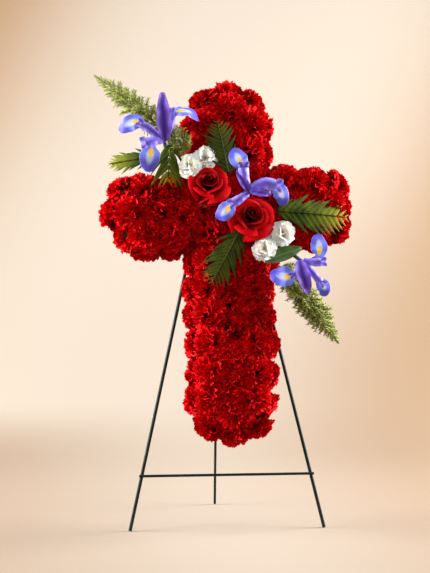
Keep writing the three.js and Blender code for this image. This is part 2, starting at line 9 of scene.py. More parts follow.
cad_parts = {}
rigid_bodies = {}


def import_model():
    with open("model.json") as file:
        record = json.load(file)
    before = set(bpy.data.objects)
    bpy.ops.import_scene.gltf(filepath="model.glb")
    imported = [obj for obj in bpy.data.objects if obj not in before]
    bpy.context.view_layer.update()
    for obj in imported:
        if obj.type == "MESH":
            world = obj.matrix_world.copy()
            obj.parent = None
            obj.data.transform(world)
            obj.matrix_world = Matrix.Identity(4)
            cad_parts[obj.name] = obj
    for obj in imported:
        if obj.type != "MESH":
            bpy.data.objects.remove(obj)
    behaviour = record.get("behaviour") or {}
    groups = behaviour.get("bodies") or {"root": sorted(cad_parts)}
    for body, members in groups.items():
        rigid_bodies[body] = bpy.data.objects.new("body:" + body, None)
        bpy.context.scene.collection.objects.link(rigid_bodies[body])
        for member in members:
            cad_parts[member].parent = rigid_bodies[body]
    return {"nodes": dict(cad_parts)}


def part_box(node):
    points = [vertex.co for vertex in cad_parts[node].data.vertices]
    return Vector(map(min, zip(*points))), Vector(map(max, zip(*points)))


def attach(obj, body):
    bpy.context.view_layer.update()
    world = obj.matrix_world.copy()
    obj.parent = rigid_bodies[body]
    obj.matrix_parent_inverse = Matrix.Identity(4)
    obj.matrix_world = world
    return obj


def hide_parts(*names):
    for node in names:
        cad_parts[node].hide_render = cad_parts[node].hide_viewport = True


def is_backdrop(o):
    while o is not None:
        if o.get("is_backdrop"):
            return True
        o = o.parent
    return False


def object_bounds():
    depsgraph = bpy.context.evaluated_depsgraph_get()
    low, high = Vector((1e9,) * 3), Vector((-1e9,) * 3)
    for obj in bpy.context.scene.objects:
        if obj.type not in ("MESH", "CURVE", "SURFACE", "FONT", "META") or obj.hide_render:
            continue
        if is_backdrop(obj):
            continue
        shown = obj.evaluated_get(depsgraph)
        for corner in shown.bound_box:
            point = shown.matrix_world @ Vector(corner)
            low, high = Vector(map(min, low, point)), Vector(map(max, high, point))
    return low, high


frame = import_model()
cad_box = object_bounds()
MM = 0.001
print("CAD nodes:", len(frame["nodes"]))

# %% [markdown]
# The cross leans back on the easel, so it is easiest to think in a leaning frame: right, up the slope,
# and out to the front. The two front feet give the point where that frame meets the floor, and the
# legs' tops give its slope. Everything that follows is placed with `on_easel`, in millimetres.


# %% The leaning frame, measured on the easel's legs
def corners_of(node):
    return np.array([vertex.co for vertex in frame["nodes"][node].data.vertices])


def end_of(node, top):
    heights = corners_of(node)[:, 2]
    near = heights > heights.max() - 2 * MM if top else heights < heights.min() + 2 * MM
    return corners_of(node)[near].mean(axis=0)


LEGS = ["easel_left_leg", "easel_right_leg"]
feet_middle = Vector(sum(end_of(leg, False) for leg in LEGS) / 2)
tops_middle = Vector(sum(end_of(leg, True) for leg in LEGS) / 2)
slope = (tops_middle - feet_middle).normalized()
facing = Vector((1, 0, 0)).cross(slope)
leaning = Matrix((Vector((1, 0, 0)), slope, facing)).transposed()


def on_easel(right, up, out):
    return feet_middle + leaning @ Vector((right, up, out)) * MM


print("lean in degrees:", round(math.degrees(math.atan2(slope.y, slope.z)), 2))

# %% [markdown]
# The easel stands on the floor before a plain warm backdrop, with its middle a little right of the
# lens axis. The lens is long, so the legs hardly converge. The direction comes from a fit to the feet,
# the crossbar and the outline of the cross.

# %% The camera
EYE = (-259.4, -2545.1, 566.4)
YAW = 5.295
PITCH = -2.636
FOCAL_PIXELS = 1400
PHOTO_HEIGHT = 573


def add_camera():
    camera = bpy.data.objects.new("photo_view", bpy.data.cameras.new("photo_view"))
    bpy.context.scene.collection.objects.link(camera)
    yaw, pitch = math.radians(YAW), math.radians(PITCH)
    aim = Vector((math.sin(yaw) * math.cos(pitch), math.cos(yaw) * math.cos(pitch), math.sin(pitch)))
    camera.location = Vector(EYE) * MM + Vector((feet_middle.x, feet_middle.y, 0))
    camera.rotation_euler = aim.to_track_quat("-Z", "Y").to_euler()
    camera.data.sensor_width = 36
    camera.data.lens = FOCAL_PIXELS / PHOTO_HEIGHT * camera.data.sensor_width
    bpy.context.scene.camera = camera
    return camera


camera = add_camera()
print("lens in mm:", round(camera.data.lens, 1))

# %% [markdown]
# Node trees are easier to read as sums than as boxes and wires. `Socket` wraps one output, so that
# `1 - mask` adds a Math node, and `Tree.node` adds any other node from its settings and its inputs.


# %% A small language for node trees
def operation(kind, swapped=False):
    """A method of Socket that adds one Math node."""
    def method(self, *others):
        terms = (*others, self) if swapped else (self, *others)
        return Tree(self.socket.id_data).node("ShaderNodeMath", dict(enumerate(terms)), operation=kind)

    return method


class Socket:
    __add__ = __radd__ = operation("ADD")
    __sub__ = operation("SUBTRACT")
    __rsub__ = operation("SUBTRACT", swapped=True)
    __mul__ = __rmul__ = operation("MULTIPLY")
    __truediv__ = operation("DIVIDE")
    __pow__ = operation("POWER")
    modulo = operation("MODULO")
    smaller = operation("MINIMUM")
    above = operation("GREATER_THAN")
    sine = operation("SINE")
    cosine = operation("COSINE")
    size = operation("ABSOLUTE")
    floor = operation("FLOOR")

    def __init__(self, socket):
        self.socket = socket

    def step(self, start, end):
        sides = {"Value": self, "From Min": start, "From Max": end}
        tree = Tree(self.socket.id_data)
        return tree.node("ShaderNodeMapRange", sides, interpolation_type="SMOOTHSTEP")


class Tree:
    def __init__(self, tree):
        self.tree = tree
        self.given = {}

    def feed(self, slot, value):
        if isinstance(value, Socket):
            self.tree.links.new(value.socket, slot)
        else:
            slot.default_value = value

    def node(self, kind, inputs=None, output=0, **settings):
        made = self.tree.nodes.new(kind)
        for name, value in settings.items():
            setattr(made, name, value)
        for name, value in (inputs or {}).items():
            self.feed(made.inputs[name], value)
        return Socket(made.outputs[output])

    def mix(self, factor, first, second):
        """Mixes two colours, each a socket or plain red, green and blue."""
        first, second = (colour if isinstance(colour, Socket) else (*colour, 1) for colour in (first, second))
        return self.node("ShaderNodeMix", {0: factor, 6: first, 7: second}, 2, data_type="RGBA")

    def vector(self, operation, *terms, output=0):
        return self.node("ShaderNodeVectorMath", dict(enumerate(terms)), output, operation=operation)

    def joined_xyz(self, x, y, z):
        return self.node("ShaderNodeCombineXYZ", {0: x, 1: y, 2: z})

    def chance(self, low, high, shift):
        """A random number for each point or instance, from the tree's seed and a shift of its own."""
        inputs = {2: low, 3: high, 8: self.given["Seed"] + shift}
        return self.node("FunctionNodeRandomValue", inputs, 1, data_type="FLOAT")

    def pointed(self, ahead, aside, ahead_axis, aside_axis):
        """The rotation that points one axis ahead and another aside."""
        axes = {"Primary Axis": ahead, "Secondary Axis": aside}
        settings = {"primary_axis": ahead_axis, "secondary_axis": aside_axis}
        return self.node("FunctionNodeAxesToRotation", axes, **settings)

    def swung(self, stand, axis, angle):
        """A rotation turned on about an axis of its own."""
        turn = self.node("FunctionNodeAxisAngleToRotation", {"Axis": axis, "Angle": angle})
        return self.node("FunctionNodeRotateRotation", {0: stand, 1: turn}, rotation_space="LOCAL")

    def points_along(self, line, count):
        """Even points on a line, and the line's direction in each."""
        inputs = {"Curve": line, "Count": count}
        dots = self.node("GeometryNodeCurveToPoints", inputs, mode="COUNT")
        return dots, Socket(dots.socket.node.outputs["Tangent"])

    def grown(self, points, instance, stand, scale, facts, **more):
        """Instances on points, with facts stored on each under their names."""
        inputs = {"Points": points, "Instance": instance, "Rotation": stand, "Scale": scale, **more}
        made = self.node("GeometryNodeInstanceOnPoints", inputs)
        for name, value in facts.items():
            inputs = {"Geometry": made, "Name": name, "Value": value}
            settings = {"data_type": "FLOAT", "domain": "INSTANCE"}
            made = self.node("GeometryNodeStoreNamedAttribute", inputs, **settings)
        return made

    def rod(self, line, radius, sides=6):
        ring = self.node("GeometryNodeCurvePrimitiveCircle", {"Resolution": sides, "Radius": radius})
        inputs = {"Curve": line, "Profile Curve": ring, "Fill Caps": True}
        return self.node("GeometryNodeCurveToMesh", inputs)

    def joined(self, *parts):
        whole = self.node("GeometryNodeJoinGeometry")
        for part in parts:
            self.feed(whole.socket.node.inputs[0], part)
        return whole


# %% Finishes
def finish(name, paint, plain):
    """A material whose varying sockets come from paint(tree), and whose even ones are plain values."""
    material = bpy.data.materials.new(name)
    material.use_nodes = True
    tree = Tree(material.node_tree)
    shader = next(node for node in material.node_tree.nodes if node.type == "BSDF_PRINCIPLED")
    for socket, value in {**plain, **paint(tree)}.items():
        tree.feed(shader.inputs[socket], value)
    return material


def parts_of(tree, place, axes):
    return [tree.node("ShaderNodeSeparateXYZ", {0: place}, axis) for axis in axes]


def object_place(tree):
    return tree.node("ShaderNodeTexCoord", output=3)


def sheet_place(tree):
    """Across and along a petal or leaf, both from 0 to 1, from its own UV map."""
    return parts_of(tree, tree.node("ShaderNodeUVMap", uv_map="UVMap"), (0, 1))


def own(tree, attribute):
    return tree.node("ShaderNodeAttribute", output=2, attribute_name=attribute)


def noise(tree, scale, detail=2.0, stretch=(1, 1, 1)):
    place = tree.vector("MULTIPLY", object_place(tree), stretch)
    return tree.node("ShaderNodeTexNoise", {"Vector": place, "Scale": scale, "Detail": detail})


def bump(tree, height, distance, strength=1.0):
    return tree.node("ShaderNodeBump", {"Height": height, "Distance": distance, "Strength": strength})


# %% Meshes and grown pieces
def mesh_of(name, points, faces, uvs=None):
    mesh = bpy.data.meshes.new(name)
    mesh.from_pydata([tuple(point) for point in points], [], faces)
    if uvs:
        layer = mesh.uv_layers.new(name="UVMap")
        for loop in mesh.loops:
            layer.data[loop.index].uv = uvs[loop.vertex_index]
    mesh.shade_smooth()
    return mesh


def grid_faces(start, rows, columns):
    """The faces of a grid of points, row by row, whose first point has this index."""
    across = columns + 1
    corners = [start + row * across + column for row in range(rows) for column in range(columns)]
    return [(corner, corner + 1, corner + across + 1, corner + across) for corner in corners]


def line_mesh(name, points):
    mesh = bpy.data.meshes.new(name)
    edges = [(index, index + 1) for index in range(len(points) - 1)]
    mesh.from_pydata([tuple(point) for point in points], edges, [])
    return mesh


def shown(name, mesh):
    piece = bpy.data.objects.new(name, mesh)
    bpy.context.scene.collection.objects.link(piece)
    return piece


def as_mesh(piece):
    """Turns the piece's modifiers into a plain mesh."""
    bpy.context.view_layer.update()
    depsgraph = bpy.context.evaluated_depsgraph_get()
    mesh = bpy.data.meshes.new_from_object(
        piece.evaluated_get(depsgraph), preserve_all_data_layers=True, depsgraph=depsgraph
    )
    mesh.name = piece.name
    piece.modifiers.clear()
    piece.data = mesh
    return piece


def installed(piece, nodes, body="easel_and_cross"):
    """The piece rides on its body and stands for its CAD nodes, which it hides."""
    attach(piece, body)
    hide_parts(*nodes)
    triangles = sum(len(face.vertices) - 2 for face in piece.data.polygons)
    print(piece.name, "has", triangles, "triangles")


def grow(name, mesh, tree, sizes, nodes, body="easel_and_cross"):
    """Installs the piece that a geometry tree grows from a mesh, with these inputs."""
    piece = shown(name, mesh)
    modifier = piece.modifiers.new("grow", "NODES")
    modifier.node_group = tree
    for item in tree.interface.items_tree:
        if item.in_out == "INPUT" and item.name in sizes:
            modifier[item.identifier] = sizes[item.name]
    installed(as_mesh(piece), nodes, body)


def new_tree(name, sizes):
    """A geometry tree with named inputs, and those inputs."""
    tree = bpy.data.node_groups.new(name, "GeometryNodeTree")
    for way in ("INPUT", "OUTPUT"):
        tree.interface.new_socket(name="Geometry", in_out=way, socket_type="NodeSocketGeometry")
    for label, (kind, value) in sizes.items():
        socket = tree.interface.new_socket(name=label, in_out="INPUT", socket_type="NodeSocket" + kind)
        if value is not None:
            socket.default_value = value
    start = tree.nodes.new("NodeGroupInput")
    made = Tree(tree)
    made.given = {output.name: Socket(output) for output in start.outputs if output.name}
    return made, made.given


def end_tree(tree, geometry, material):
    """Every tree ends in real geometry and its material."""
    real = tree.node("GeometryNodeRealizeInstances", {0: geometry})
    done = tree.node("GeometryNodeSetMaterial", {"Geometry": real, "Material": material})
    tree.feed(tree.tree.nodes.new("NodeGroupOutput").inputs[0], done)
    return tree.tree


# %% [markdown]
# Each limb of the cross is packed with carnation heads: one row along its middle, two along its
# shoulders, two on its flanks, three over each end, and one in each inner corner. The foam's sizes and
# the packing are those of the solids, so that a head lies where its solid does.

# %% Where the carnation heads sit, in millimetres of the leaning frame
foam_lo, foam_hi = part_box("foam_cross")
CROSS_OFFSET = ((foam_lo.x + foam_hi.x) / 2 - feet_middle.x) / MM
FOAM_HEIGHT, FOAM_SPAN, FOAM_WIDTH, FOAM_DEPTH = 610, 406, 104, 45
FOAM_BOTTOM, ARM_HEIGHT, FOAM_BACK = 191, 591, 3.3
FOAM_FRONT = FOAM_BACK + FOAM_DEPTH
FOAM_HALF = FOAM_WIDTH / 2
FOAM_TOP = FOAM_BOTTOM + FOAM_HEIGHT
HEAD_RADIUS, HEAD_SEAT, HEAD_PITCH, SCATTER = 33, 12, 50, 2.5
SHOULDER_INSET, SHOULDER_SEAT, SHOULDER_TILT = 9, 10, 28
FLANK_HEIGHT, FLANK_TILT, ARM_FLANK_SEAT = 22, 80, 6
END_INSET, END_HEIGHT, END_SPACING, END_SPLAY, END_RISE = 20, 31, 42, 0.6, 0.3
ARM_DRIFT = 8
LOW_CROWN, HIGH_CROWN = 0.8, 1.0
ARM_REACHES = {-1: (-12, 8, -2), 1: (-2, 2, -2)}
BLOOM_FACE = FOAM_FRONT + HEAD_SEAT + 0.76 * HEAD_RADIUS
OUT = Vector((0, 0, 1))


def uneven(index, channel):
    return math.sin(index * 12.9 + channel * 4.1)


def across_of(along):
    return Vector((along.y, -along.x, 0))


def limb_heads(first, rows, step, origin, along, flank_seat, has_flank):
    heads = []

    def add(distance, aside, height, tilt):
        place = origin + along * distance + across_of(along) * aside
        place.z = height
        side = (aside > 0) - (aside < 0)
        turn = math.radians(tilt)
        heads.append((place, OUT * math.cos(turn) + across_of(along) * side * math.sin(turn), LOW_CROWN))

    for row in range(rows):
        distance = first + row * step
        add(distance, 0, FOAM_FRONT + HEAD_SEAT, 0)
        if row == rows - 1:
            break
        for side in (-1, 1):
            aside = side * (FOAM_HALF - SHOULDER_INSET)
            add(distance + step / 2, aside, FOAM_FRONT + SHOULDER_SEAT, SHOULDER_TILT)
            if has_flank(distance + step / 2):
                aside = side * (FOAM_HALF + flank_seat)
                add(distance + step / 2, aside, FOAM_BACK + FLANK_HEIGHT, FLANK_TILT)
    return heads


def end_heads(end, along, reaches=(-2, 8, -2)):
    """Three heads over a limb's end, each set out by its own reach."""
    heads = []
    for side, reach in zip((-1, 0, 1), reaches):
        place = end + along * reach + across_of(along) * side * END_SPACING
        place.z = FOAM_BACK + END_HEIGHT
        crown = HIGH_CROWN if reach > 4 else LOW_CROWN
        heads.append((place, along + across_of(along) * side * END_SPLAY + OUT * END_RISE, crown))
    return heads


def corner_heads():
    reach = FOAM_HALF + HEAD_SEAT
    places = [(-1, -1), (1, -1), (-1, 1), (1, 1)]
    return [
        (
            Vector((CROSS_OFFSET + side * reach, ARM_HEIGHT + level * reach, FOAM_BACK + END_HEIGHT)),
            Vector((side * 0.6, level * 0.6, 0.8)),
            LOW_CROWN,
        )
        for side, level in places
    ]


def all_heads():
    up = Vector((0, 1, 0))
    length = FOAM_HEIGHT - 2 * END_INSET
    rows = 1 + round(length / HEAD_PITCH)
    middle = Vector((CROSS_OFFSET, 0, 0))
    heads = limb_heads(
        FOAM_BOTTOM + END_INSET, rows, length / (rows - 1), middle, up, HEAD_SEAT,
        lambda distance: abs(distance - ARM_HEIGHT) > FOAM_HALF + HEAD_SEAT,
    )
    heads += end_heads(middle + up * FOAM_BOTTOM, -up, (-2, 8, 4)) + end_heads(middle + up * FOAM_TOP, up)
    heads += corner_heads()
    sides = ["middle"] * len(heads)
    for side in (-1, 1):
        along = Vector((side, 0, 0))
        origin = Vector((CROSS_OFFSET, ARM_HEIGHT + side * ARM_DRIFT, 0))
        reach = FOAM_SPAN / 2 - END_INSET
        arm_rows = int((reach - FOAM_HALF - SHOULDER_INSET) // HEAD_PITCH) + 1
        first = reach - (arm_rows - 1) * HEAD_PITCH
        arm = limb_heads(
            first, arm_rows, HEAD_PITCH, origin, along, ARM_FLANK_SEAT, lambda distance: True
        )
        arm += end_heads(origin + along * FOAM_SPAN / 2, along, ARM_REACHES[side])
        heads += arm
        sides += ["left_arm" if side < 0 else "right_arm"] * len(arm)
    placed = []
    for index, ((place, aim, crown), side) in enumerate(zip(heads, sides)):
        shift = Vector([uneven(index, channel) for channel in (1, 2, 3)]) * SCATTER
        radius = HEAD_RADIUS + 1.4 * uneven(index, 4)
        if side == "middle":
            side = "top_arm" if (place + shift).y > ARM_HEIGHT + FOAM_HALF else "shaft"
        placed.append((place + shift, aim.normalized(), radius, crown, side))
    return placed


heads = all_heads()
print("carnation heads:", len(heads))

# %% [markdown]
# A carnation's petal is a narrow claw that opens into a fan with a toothed, ruffled margin. A dozen
# fans, each ruffled in its own way, are enough: turned and scaled differently they never look alike.
# The first ones stand up, for the heart of a head, and the last ones bend outwards, for its rim.

# %% Carnation petals, a unit long


def eased(value, start, end):
    share = min(max((value - start) / (end - start), 0), 1)
    return share * share * (3 - 2 * share)


def fan_petal(name, chance, columns, rows, bend, ruffle, tooth, waves=(2.2, 3.2), claw=0.08, fan=0.46):
    turns = chance.uniform(*waves)
    phases = [chance.uniform(0, 6.28) for _ in range(3)]
    points, uvs = [], []
    for row in range(rows + 1):
        v = row / rows
        half = claw + (fan - claw) * eased(v, 0.1, 0.9)
        fold = bend * max(v - 0.4, 0) ** 2
        for column in range(columns + 1):
            u = 2 * column / columns - 1
            wave = math.sin(u * math.pi * turns + phases[0]) + 0.4 * math.sin(u * 9.1 + phases[1])
            frill = tooth * (column % 2) * (v > 0.99) + 0.04 * math.sin(u * 7 + phases[2])
            points.append((
                half * u * (1 - 0.1 * abs(wave) * v),
                ruffle * wave * v * v - fold * 1.5,
                v * (1 - 0.14 * u * u) - frill * v - fold * 0.5,
            ))
            uvs.append(((u + 1) / 2, v))
    return mesh_of(name, points, grid_faces(0, rows, columns), uvs)


def petal_collection(name, meshes):
    """A collection that isn't part of the scene, to pick instances from."""
    collection = bpy.data.collections.new(name)
    for mesh in meshes:
        collection.objects.link(bpy.data.objects.new(mesh.name, mesh))
    return collection


def discard(collection):
    for piece in list(collection.objects):
        bpy.data.objects.remove(piece)
    bpy.data.collections.remove(collection)


FAN_KINDS = 12
fan_chance = random.Random(4)
carnation_fans = petal_collection("carnation_fans", [
    fan_petal(
        f"fan_{kind:02d}", fan_chance, columns=16, rows=3, waves=(2.0, 3.2),
        bend=0.5 if kind < FAN_KINDS / 2 else 1.2, ruffle=0.09, tooth=0.028, fan=0.54,
    )
    for kind in range(FAN_KINDS)
])

# %% [markdown]
# A head is a rosette: each petal turns a golden angle past the one before, and they spread from the
# crown down the sides of a low dome. The tree makes such a rosette at every head, and leaves out the
# petals that would stand inside a neighbour or behind the foam, where no one sees them.

# %% The tree that packs heads with petals
GOLDEN_ANGLE = math.pi * (3 - math.sqrt(5))


def rosette_tree(name, material):
    tree, given = new_tree(name, {
        "Petals": ("Int", 76),
        "Spread": ("Float", 1.75),
        "Twist": ("Float", 3.1),
        "Nod": ("Float", 0.3),
        "Hidden": ("Float", 0.68),
        "Back": ("Float", -1.0),
        "Kinds": ("Int", FAN_KINDS),
        "Seed": ("Int", 1),
        "Fans": ("Collection", None),
    })

    def fact(label, kind="FLOAT"):
        return tree.node("GeometryNodeInputNamedAttribute", {"Name": label}, data_type=kind)

    size, crown = fact("size"), fact("crown")
    turned = tree.node("FunctionNodeEulerToRotation", {0: fact("turn", "FLOAT_VECTOR")})

    def swung(vector):
        return tree.node("FunctionNodeRotateVector", {0: vector, 1: turned})

    # Every head carries as many points as petals, and a point's order in its head is the petal's
    dots = tree.node("GeometryNodePoints", {"Count": given["Petals"]})
    dots = tree.node("GeometryNodeInstanceOnPoints", {"Points": given["Geometry"], "Instance": dots})
    dots = tree.node("GeometryNodeRealizeInstances", {0: dots})
    order = tree.node("GeometryNodeInputIndex").modulo(given["Petals"])
    rank = (order + 0.5) / given["Petals"]
    bearing = order * GOLDEN_ANGLE + tree.chance(-0.3, 0.3, 0)
    polar = given["Spread"] * rank**0.66 + tree.chance(-0.08, 0.08, 1)
    side, rise = polar.sine(), polar.cosine()
    east, north = bearing.cosine(), bearing.sine()
    tip = tree.joined_xyz(side * east * size, side * north * size, rise * crown * size)
    root = tree.joined_xyz(side * east * size * 0.1, side * north * size * 0.1, size * -0.3)

    # Petals whose tips are inside a neighbour or behind the foam are left out
    far = tree.vector("ADD", tree.node("GeometryNodeInputPosition"), swung(tip))
    around = {0: given["Geometry"], "Sample Position": far}
    nearest = tree.node("GeometryNodeProximity", around, 1, target_element="POINTS")
    buried = given["Hidden"] * size - nearest
    behind = given["Back"] - tree.vector("DOT_PRODUCT", far, tuple(facing), output=1)
    lost = tree.node("FunctionNodeBooleanMath", {0: buried.above(0), 1: behind.above(0)}, operation="OR")
    kept = tree.node("GeometryNodeDeleteGeometry", {"Geometry": dots, "Selection": lost}, domain="POINT")
    moved = tree.node("GeometryNodeSetPosition", {"Geometry": kept, "Offset": swung(root)})

    # Each petal stands along the line from root to tip, with its face to the head's middle
    ahead = tree.vector("SUBTRACT", tip, root)
    inward = tree.joined_xyz(east * -1, north * -1, 0.35)
    stand = tree.pointed(swung(ahead), swung(inward), "Z", "Y")
    stand = tree.swung(stand, tuple(OUT), tree.chance(-1.0, 1.0, 2) * given["Twist"] * (1 - rank) ** 1.4)
    stand = tree.swung(stand, (1, 0, 0), tree.chance(-1.0, 1.0, 7) * given["Nod"] * (1.4 - rank))
    length = tree.vector("LENGTH", ahead, output=1) * tree.chance(0.95, 1.13, 3)
    reach = tree.joined_xyz(size * tree.chance(0.8, 1.0, 4), size * 0.85, length)
    inputs = {"Collection": given["Fans"], "Separate Children": True, "Reset Children": True}
    fans = tree.node("GeometryNodeCollectionInfo", inputs)
    kind = (rank * 0.55 + tree.chance(0.0, 0.45, 5)) * given["Kinds"]
    facts = {"petal_shade": tree.chance(0.0, 1.0, 6), "petal_rank": rank}
    pick = {"Pick Instance": True, "Instance Index": kind.floor()}
    return end_tree(tree, tree.grown(moved, fans, stand, reach, facts, **pick), material)


# %% [markdown]
# A red carnation's colour follows the petal from claw to margin. Where the claws go down between the
# fans it is painted nearly black, as painted shade, and the claws of a head's heart are painted lighter
# to lift the shade between its upright petals. Along the torn margins a painted highlight makes it
# brighter and a little pink. Each petal is a little lighter or darker than the next. The skin is nearly
# matt, as petals are.

# %% Red carnation finish


def carnation_paint(tree):
    across, along = sheet_place(tree)
    streak = noise(tree, 260, 3.0)
    # Painted shade: the claw end of each petal is nearly black, and lighter in the heart's petals to lift
    # their shade
    depth = along.step(0.4, 1.0)
    claw = tree.mix(own(tree, "petal_rank").step(0.02, 0.3), (0.45, 0.0, 0.001), (0.10, 0.0, 0.0005))
    colour = tree.mix(depth, claw, (0.52, 0.0, 0.001))
    colour = tree.mix(own(tree, "petal_shade") * 0.5 * depth, colour, (0.80, 0.0002, 0.002))
    # Painted highlight: brighter, pinker margins where the torn edges catch the light
    margin_highlight = (along + streak * 0.06).step(0.94, 1.0)
    colour = tree.mix(margin_highlight * streak.step(0.5, 0.7) * 0.5, colour, (0.88, 0.07, 0.11))
    height = (across * 70).sine() * 0.4 + streak
    return {"Base Color": colour, "Normal": bump(tree, height, 0.0006, 0.5)}


red_carnation = finish("red carnation petals", carnation_paint, {
    "Roughness": 0.6, "Specular IOR Level": 0.03,
})

# %% Red carnations, limb by limb
rosettes = rosette_tree("rosettes of fan petals", red_carnation)


def heads_mesh(name, chosen):
    """One vertex for each head, with the way it faces, its radius and how high it is domed."""
    mesh = bpy.data.meshes.new(name)
    mesh.from_pydata([tuple(on_easel(*place)) for place, aim, radius, crown in chosen], [], [])
    for label, kind in (("turn", "FLOAT_VECTOR"), ("size", "FLOAT"), ("crown", "FLOAT")):
        mesh.attributes.new(label, kind, "POINT")
    for index, (place, aim, radius, crown) in enumerate(chosen):
        mesh.attributes["turn"].data[index].vector = (leaning @ aim).to_track_quat("Z", "Y").to_euler()
        mesh.attributes["size"].data[index].value = radius * MM
        mesh.attributes["crown"].data[index].value = crown
    return mesh


BACK_PLANE = feet_middle.dot(facing) + (FOAM_BACK + 1.5) * MM
limbs = [
    (f"red_carnations_{limb}", f"carnations_{limb}", [head for head in heads if head[-1] == limb])
    for limb in ("top_arm", "left_arm", "right_arm")
]
shaft = sorted((head for head in heads if head[-1] == "shaft"), key=lambda head: head[0].y)
PARTS = 3
for part in range(PARTS):
    start, stop = (round(len(shaft) * edge / PARTS) for edge in (part, part + 1))
    limbs.append((f"red_carnations_shaft_{part + 1}", "carnations_shaft", shaft[start:stop]))

for order, (name, node, chosen) in enumerate(limbs):
    mesh = heads_mesh(name, [head[:-1] for head in chosen])
    sizes = {"Seed": 10 * order, "Back": BACK_PLANE, "Fans": carnation_fans}
    grow(name, mesh, rosettes, sizes, [node])
discard(carnation_fans)

# %% [markdown]
# The flowers of the spray are laid over the heads. Each is placed from the crossing: so far right, so
# far up the slope, and so high above the faces of the carnations, the same numbers as its solid has.

# %% Places in the spray


def spray(right, up, lift):
    return Vector((CROSS_OFFSET + right, ARM_HEIGHT + up, BLOOM_FACE + lift))


def spline(points, t):
    """A point of a smooth line through the given points, t from 0 to 1."""
    along = min(max(t, 0), 1) * (len(points) - 1)
    start = min(int(along), len(points) - 2)
    share = along - start
    a, b = points[start], points[start + 1]
    before = points[start - 1] if start else a * 2 - b
    after = points[start + 2] if start + 2 < len(points) else b * 2 - a
    return (
        before * (2 * share**2 - share**3 - share)
        + a * (2 - 5 * share**2 + 3 * share**3)
        + b * (share + 4 * share**2 - 3 * share**3)
        + after * (share**3 - share**2)
    ) / 2


class Sheets:
    """Collects thin sheets, each a grid carried along a line, into one mesh."""

    def __init__(self):
        self.points, self.faces, self.uvs, self.parts = [], [], [], []

    def grid(self, rows, columns, place, part=0):
        start = len(self.points)
        for row in range(rows + 1):
            for column in range(columns + 1):
                u, v = column / columns, row / rows
                self.points.append(on_easel(*place(2 * u - 1, v)))
                self.uvs.append((u, v))
                self.parts.append(part)
        self.faces += grid_faces(start, rows, columns)

    def along(
        self, points, half_width, cup=0.0, ripple=0.0, rows=14, columns=8, part=0, face=OUT, phase=0.0,
    ):
        """A petal or leaf on a line: cup lifts its sides, ripple waves its margins."""
        def place(u, v):
            centre = spline(points, v)
            ahead = (spline(points, min(v + 0.02, 1)) - spline(points, max(v - 0.02, 0))).normalized()
            sideways = ahead.cross(face).normalized()
            outward = sideways.cross(ahead)
            half = half_width(v)
            wave = ripple * abs(u) * math.sin(v * 19 + phase + (0 if u > 0 else 2))
            return centre + sideways * half * u + outward * (cup * half * u * u + wave)

        self.grid(rows, columns, place, part)

    def piece(self, name, thickness, material):
        mesh = mesh_of(name, self.points, self.faces, self.uvs)
        parts = mesh.attributes.new("part", "FLOAT", "POINT")
        parts.data.foreach_set("value", [float(part) for part in self.parts])
        mesh.materials.append(material)
        made = shown(name, mesh)
        solid = made.modifiers.new("leaf_thickness", "SOLIDIFY")
        solid.thickness = thickness * MM
        solid.offset = 0
        smooth = made.modifiers.new("soft", "SUBSURF")
        smooth.levels = smooth.render_levels = 1
        return as_mesh(made)


def aimed(centre, aim):
    """Turns local points of a flower so that it faces its aim from its centre."""
    turn = Vector(aim).to_track_quat("Z", "Y")
    return lambda x, y, z: centre + turn @ Vector((x, y, z))


# %% [markdown]
# A florist's rose seen from the front is a spiral: the heart is rolled tight, and each petal further
# out is wider, lower and more open, until its rim rolls over and comes to a soft point. Every petal is
# the same sheet with its own turn, radius, height and curl, so one formula makes them all.

# %% Roses
ROSE_SIZE = 84
ROSES = {
    "rose_lower": ((34, -23, 18), (0.08, 0.15, 1), 0.6, 1.1),
    "rose_upper": ((-43, 41, 9), (0.05, 0.3, 1), 2.4, 1.07),
}
LOOSE_PETAL = [(-62, -1, 7), (-53, -1, 11), (-43, 2, 13), (-33, 6, 11), (-24, 8, 7)]


def rose(name, place, aim, turn, scale, material):
    sheets = Sheets()
    local = aimed(spray(*place), aim)
    chance = random.Random(name)
    petals = 15
    for petal in range(petals):
        share = petal / (petals - 1)
        bearing = turn + petal * GOLDEN_ANGLE + chance.uniform(-0.35, 0.35)
        rim = 0.03 + 0.42 * share**1.2 + 0.014 * chance.uniform(-1, 1)
        base = rim * 0.42
        top = 0.25 - 0.24 * share**1.2 + 0.02 * chance.uniform(-1, 1)
        spread = 1.75 - 0.55 * share**0.7
        curl = 0.010 + 0.055 * share**1.5
        flat = 0.65 + 0.95 * share
        lean = chance.uniform(-0.04, 0.04)
        phase = chance.uniform(0, 6)
        flare = chance.uniform(-0.02, 0.03) * share
        rim, top = rim + flare, top - flare

        def shape(u, v):
            angle = bearing + u * spread * (0.5 + 0.5 * v)
            rolled = max(v - 0.74, 0) / 0.26
            point = max(1 - abs(u) * 1.6, 0) ** 1.5 * share * 0.035
            radius = base + (rim - base) * v**flat + (curl + point) * rolled**1.6 + 0.016 * u
            drop = (0.05 + 0.16 * share) * abs(u) ** 2.2 * v + 0.015 * math.sin(4 * u + phase) * v
            height = -0.26 + (top + 0.26) * v ** (0.9 - 0.4 * share) - drop - curl * 1.1 * rolled**2.2
            radius *= 1 + lean * math.sin(3 * angle)
            size = ROSE_SIZE * scale
            return local(radius * math.cos(angle) * size, radius * math.sin(angle) * size, height * size)

        sheets.grid(12, 14, shape, share)
    if name == "rose_upper":
        loose = [spray(*place) for place in LOOSE_PETAL]
        width = lambda v: 7 * math.sin(math.pi * (0.12 + 0.8 * v))
        sheets.along(loose, width, cup=0.4, ripple=0.6, part=1.0)
    return sheets.piece("petals_" + name, 0.5, material)


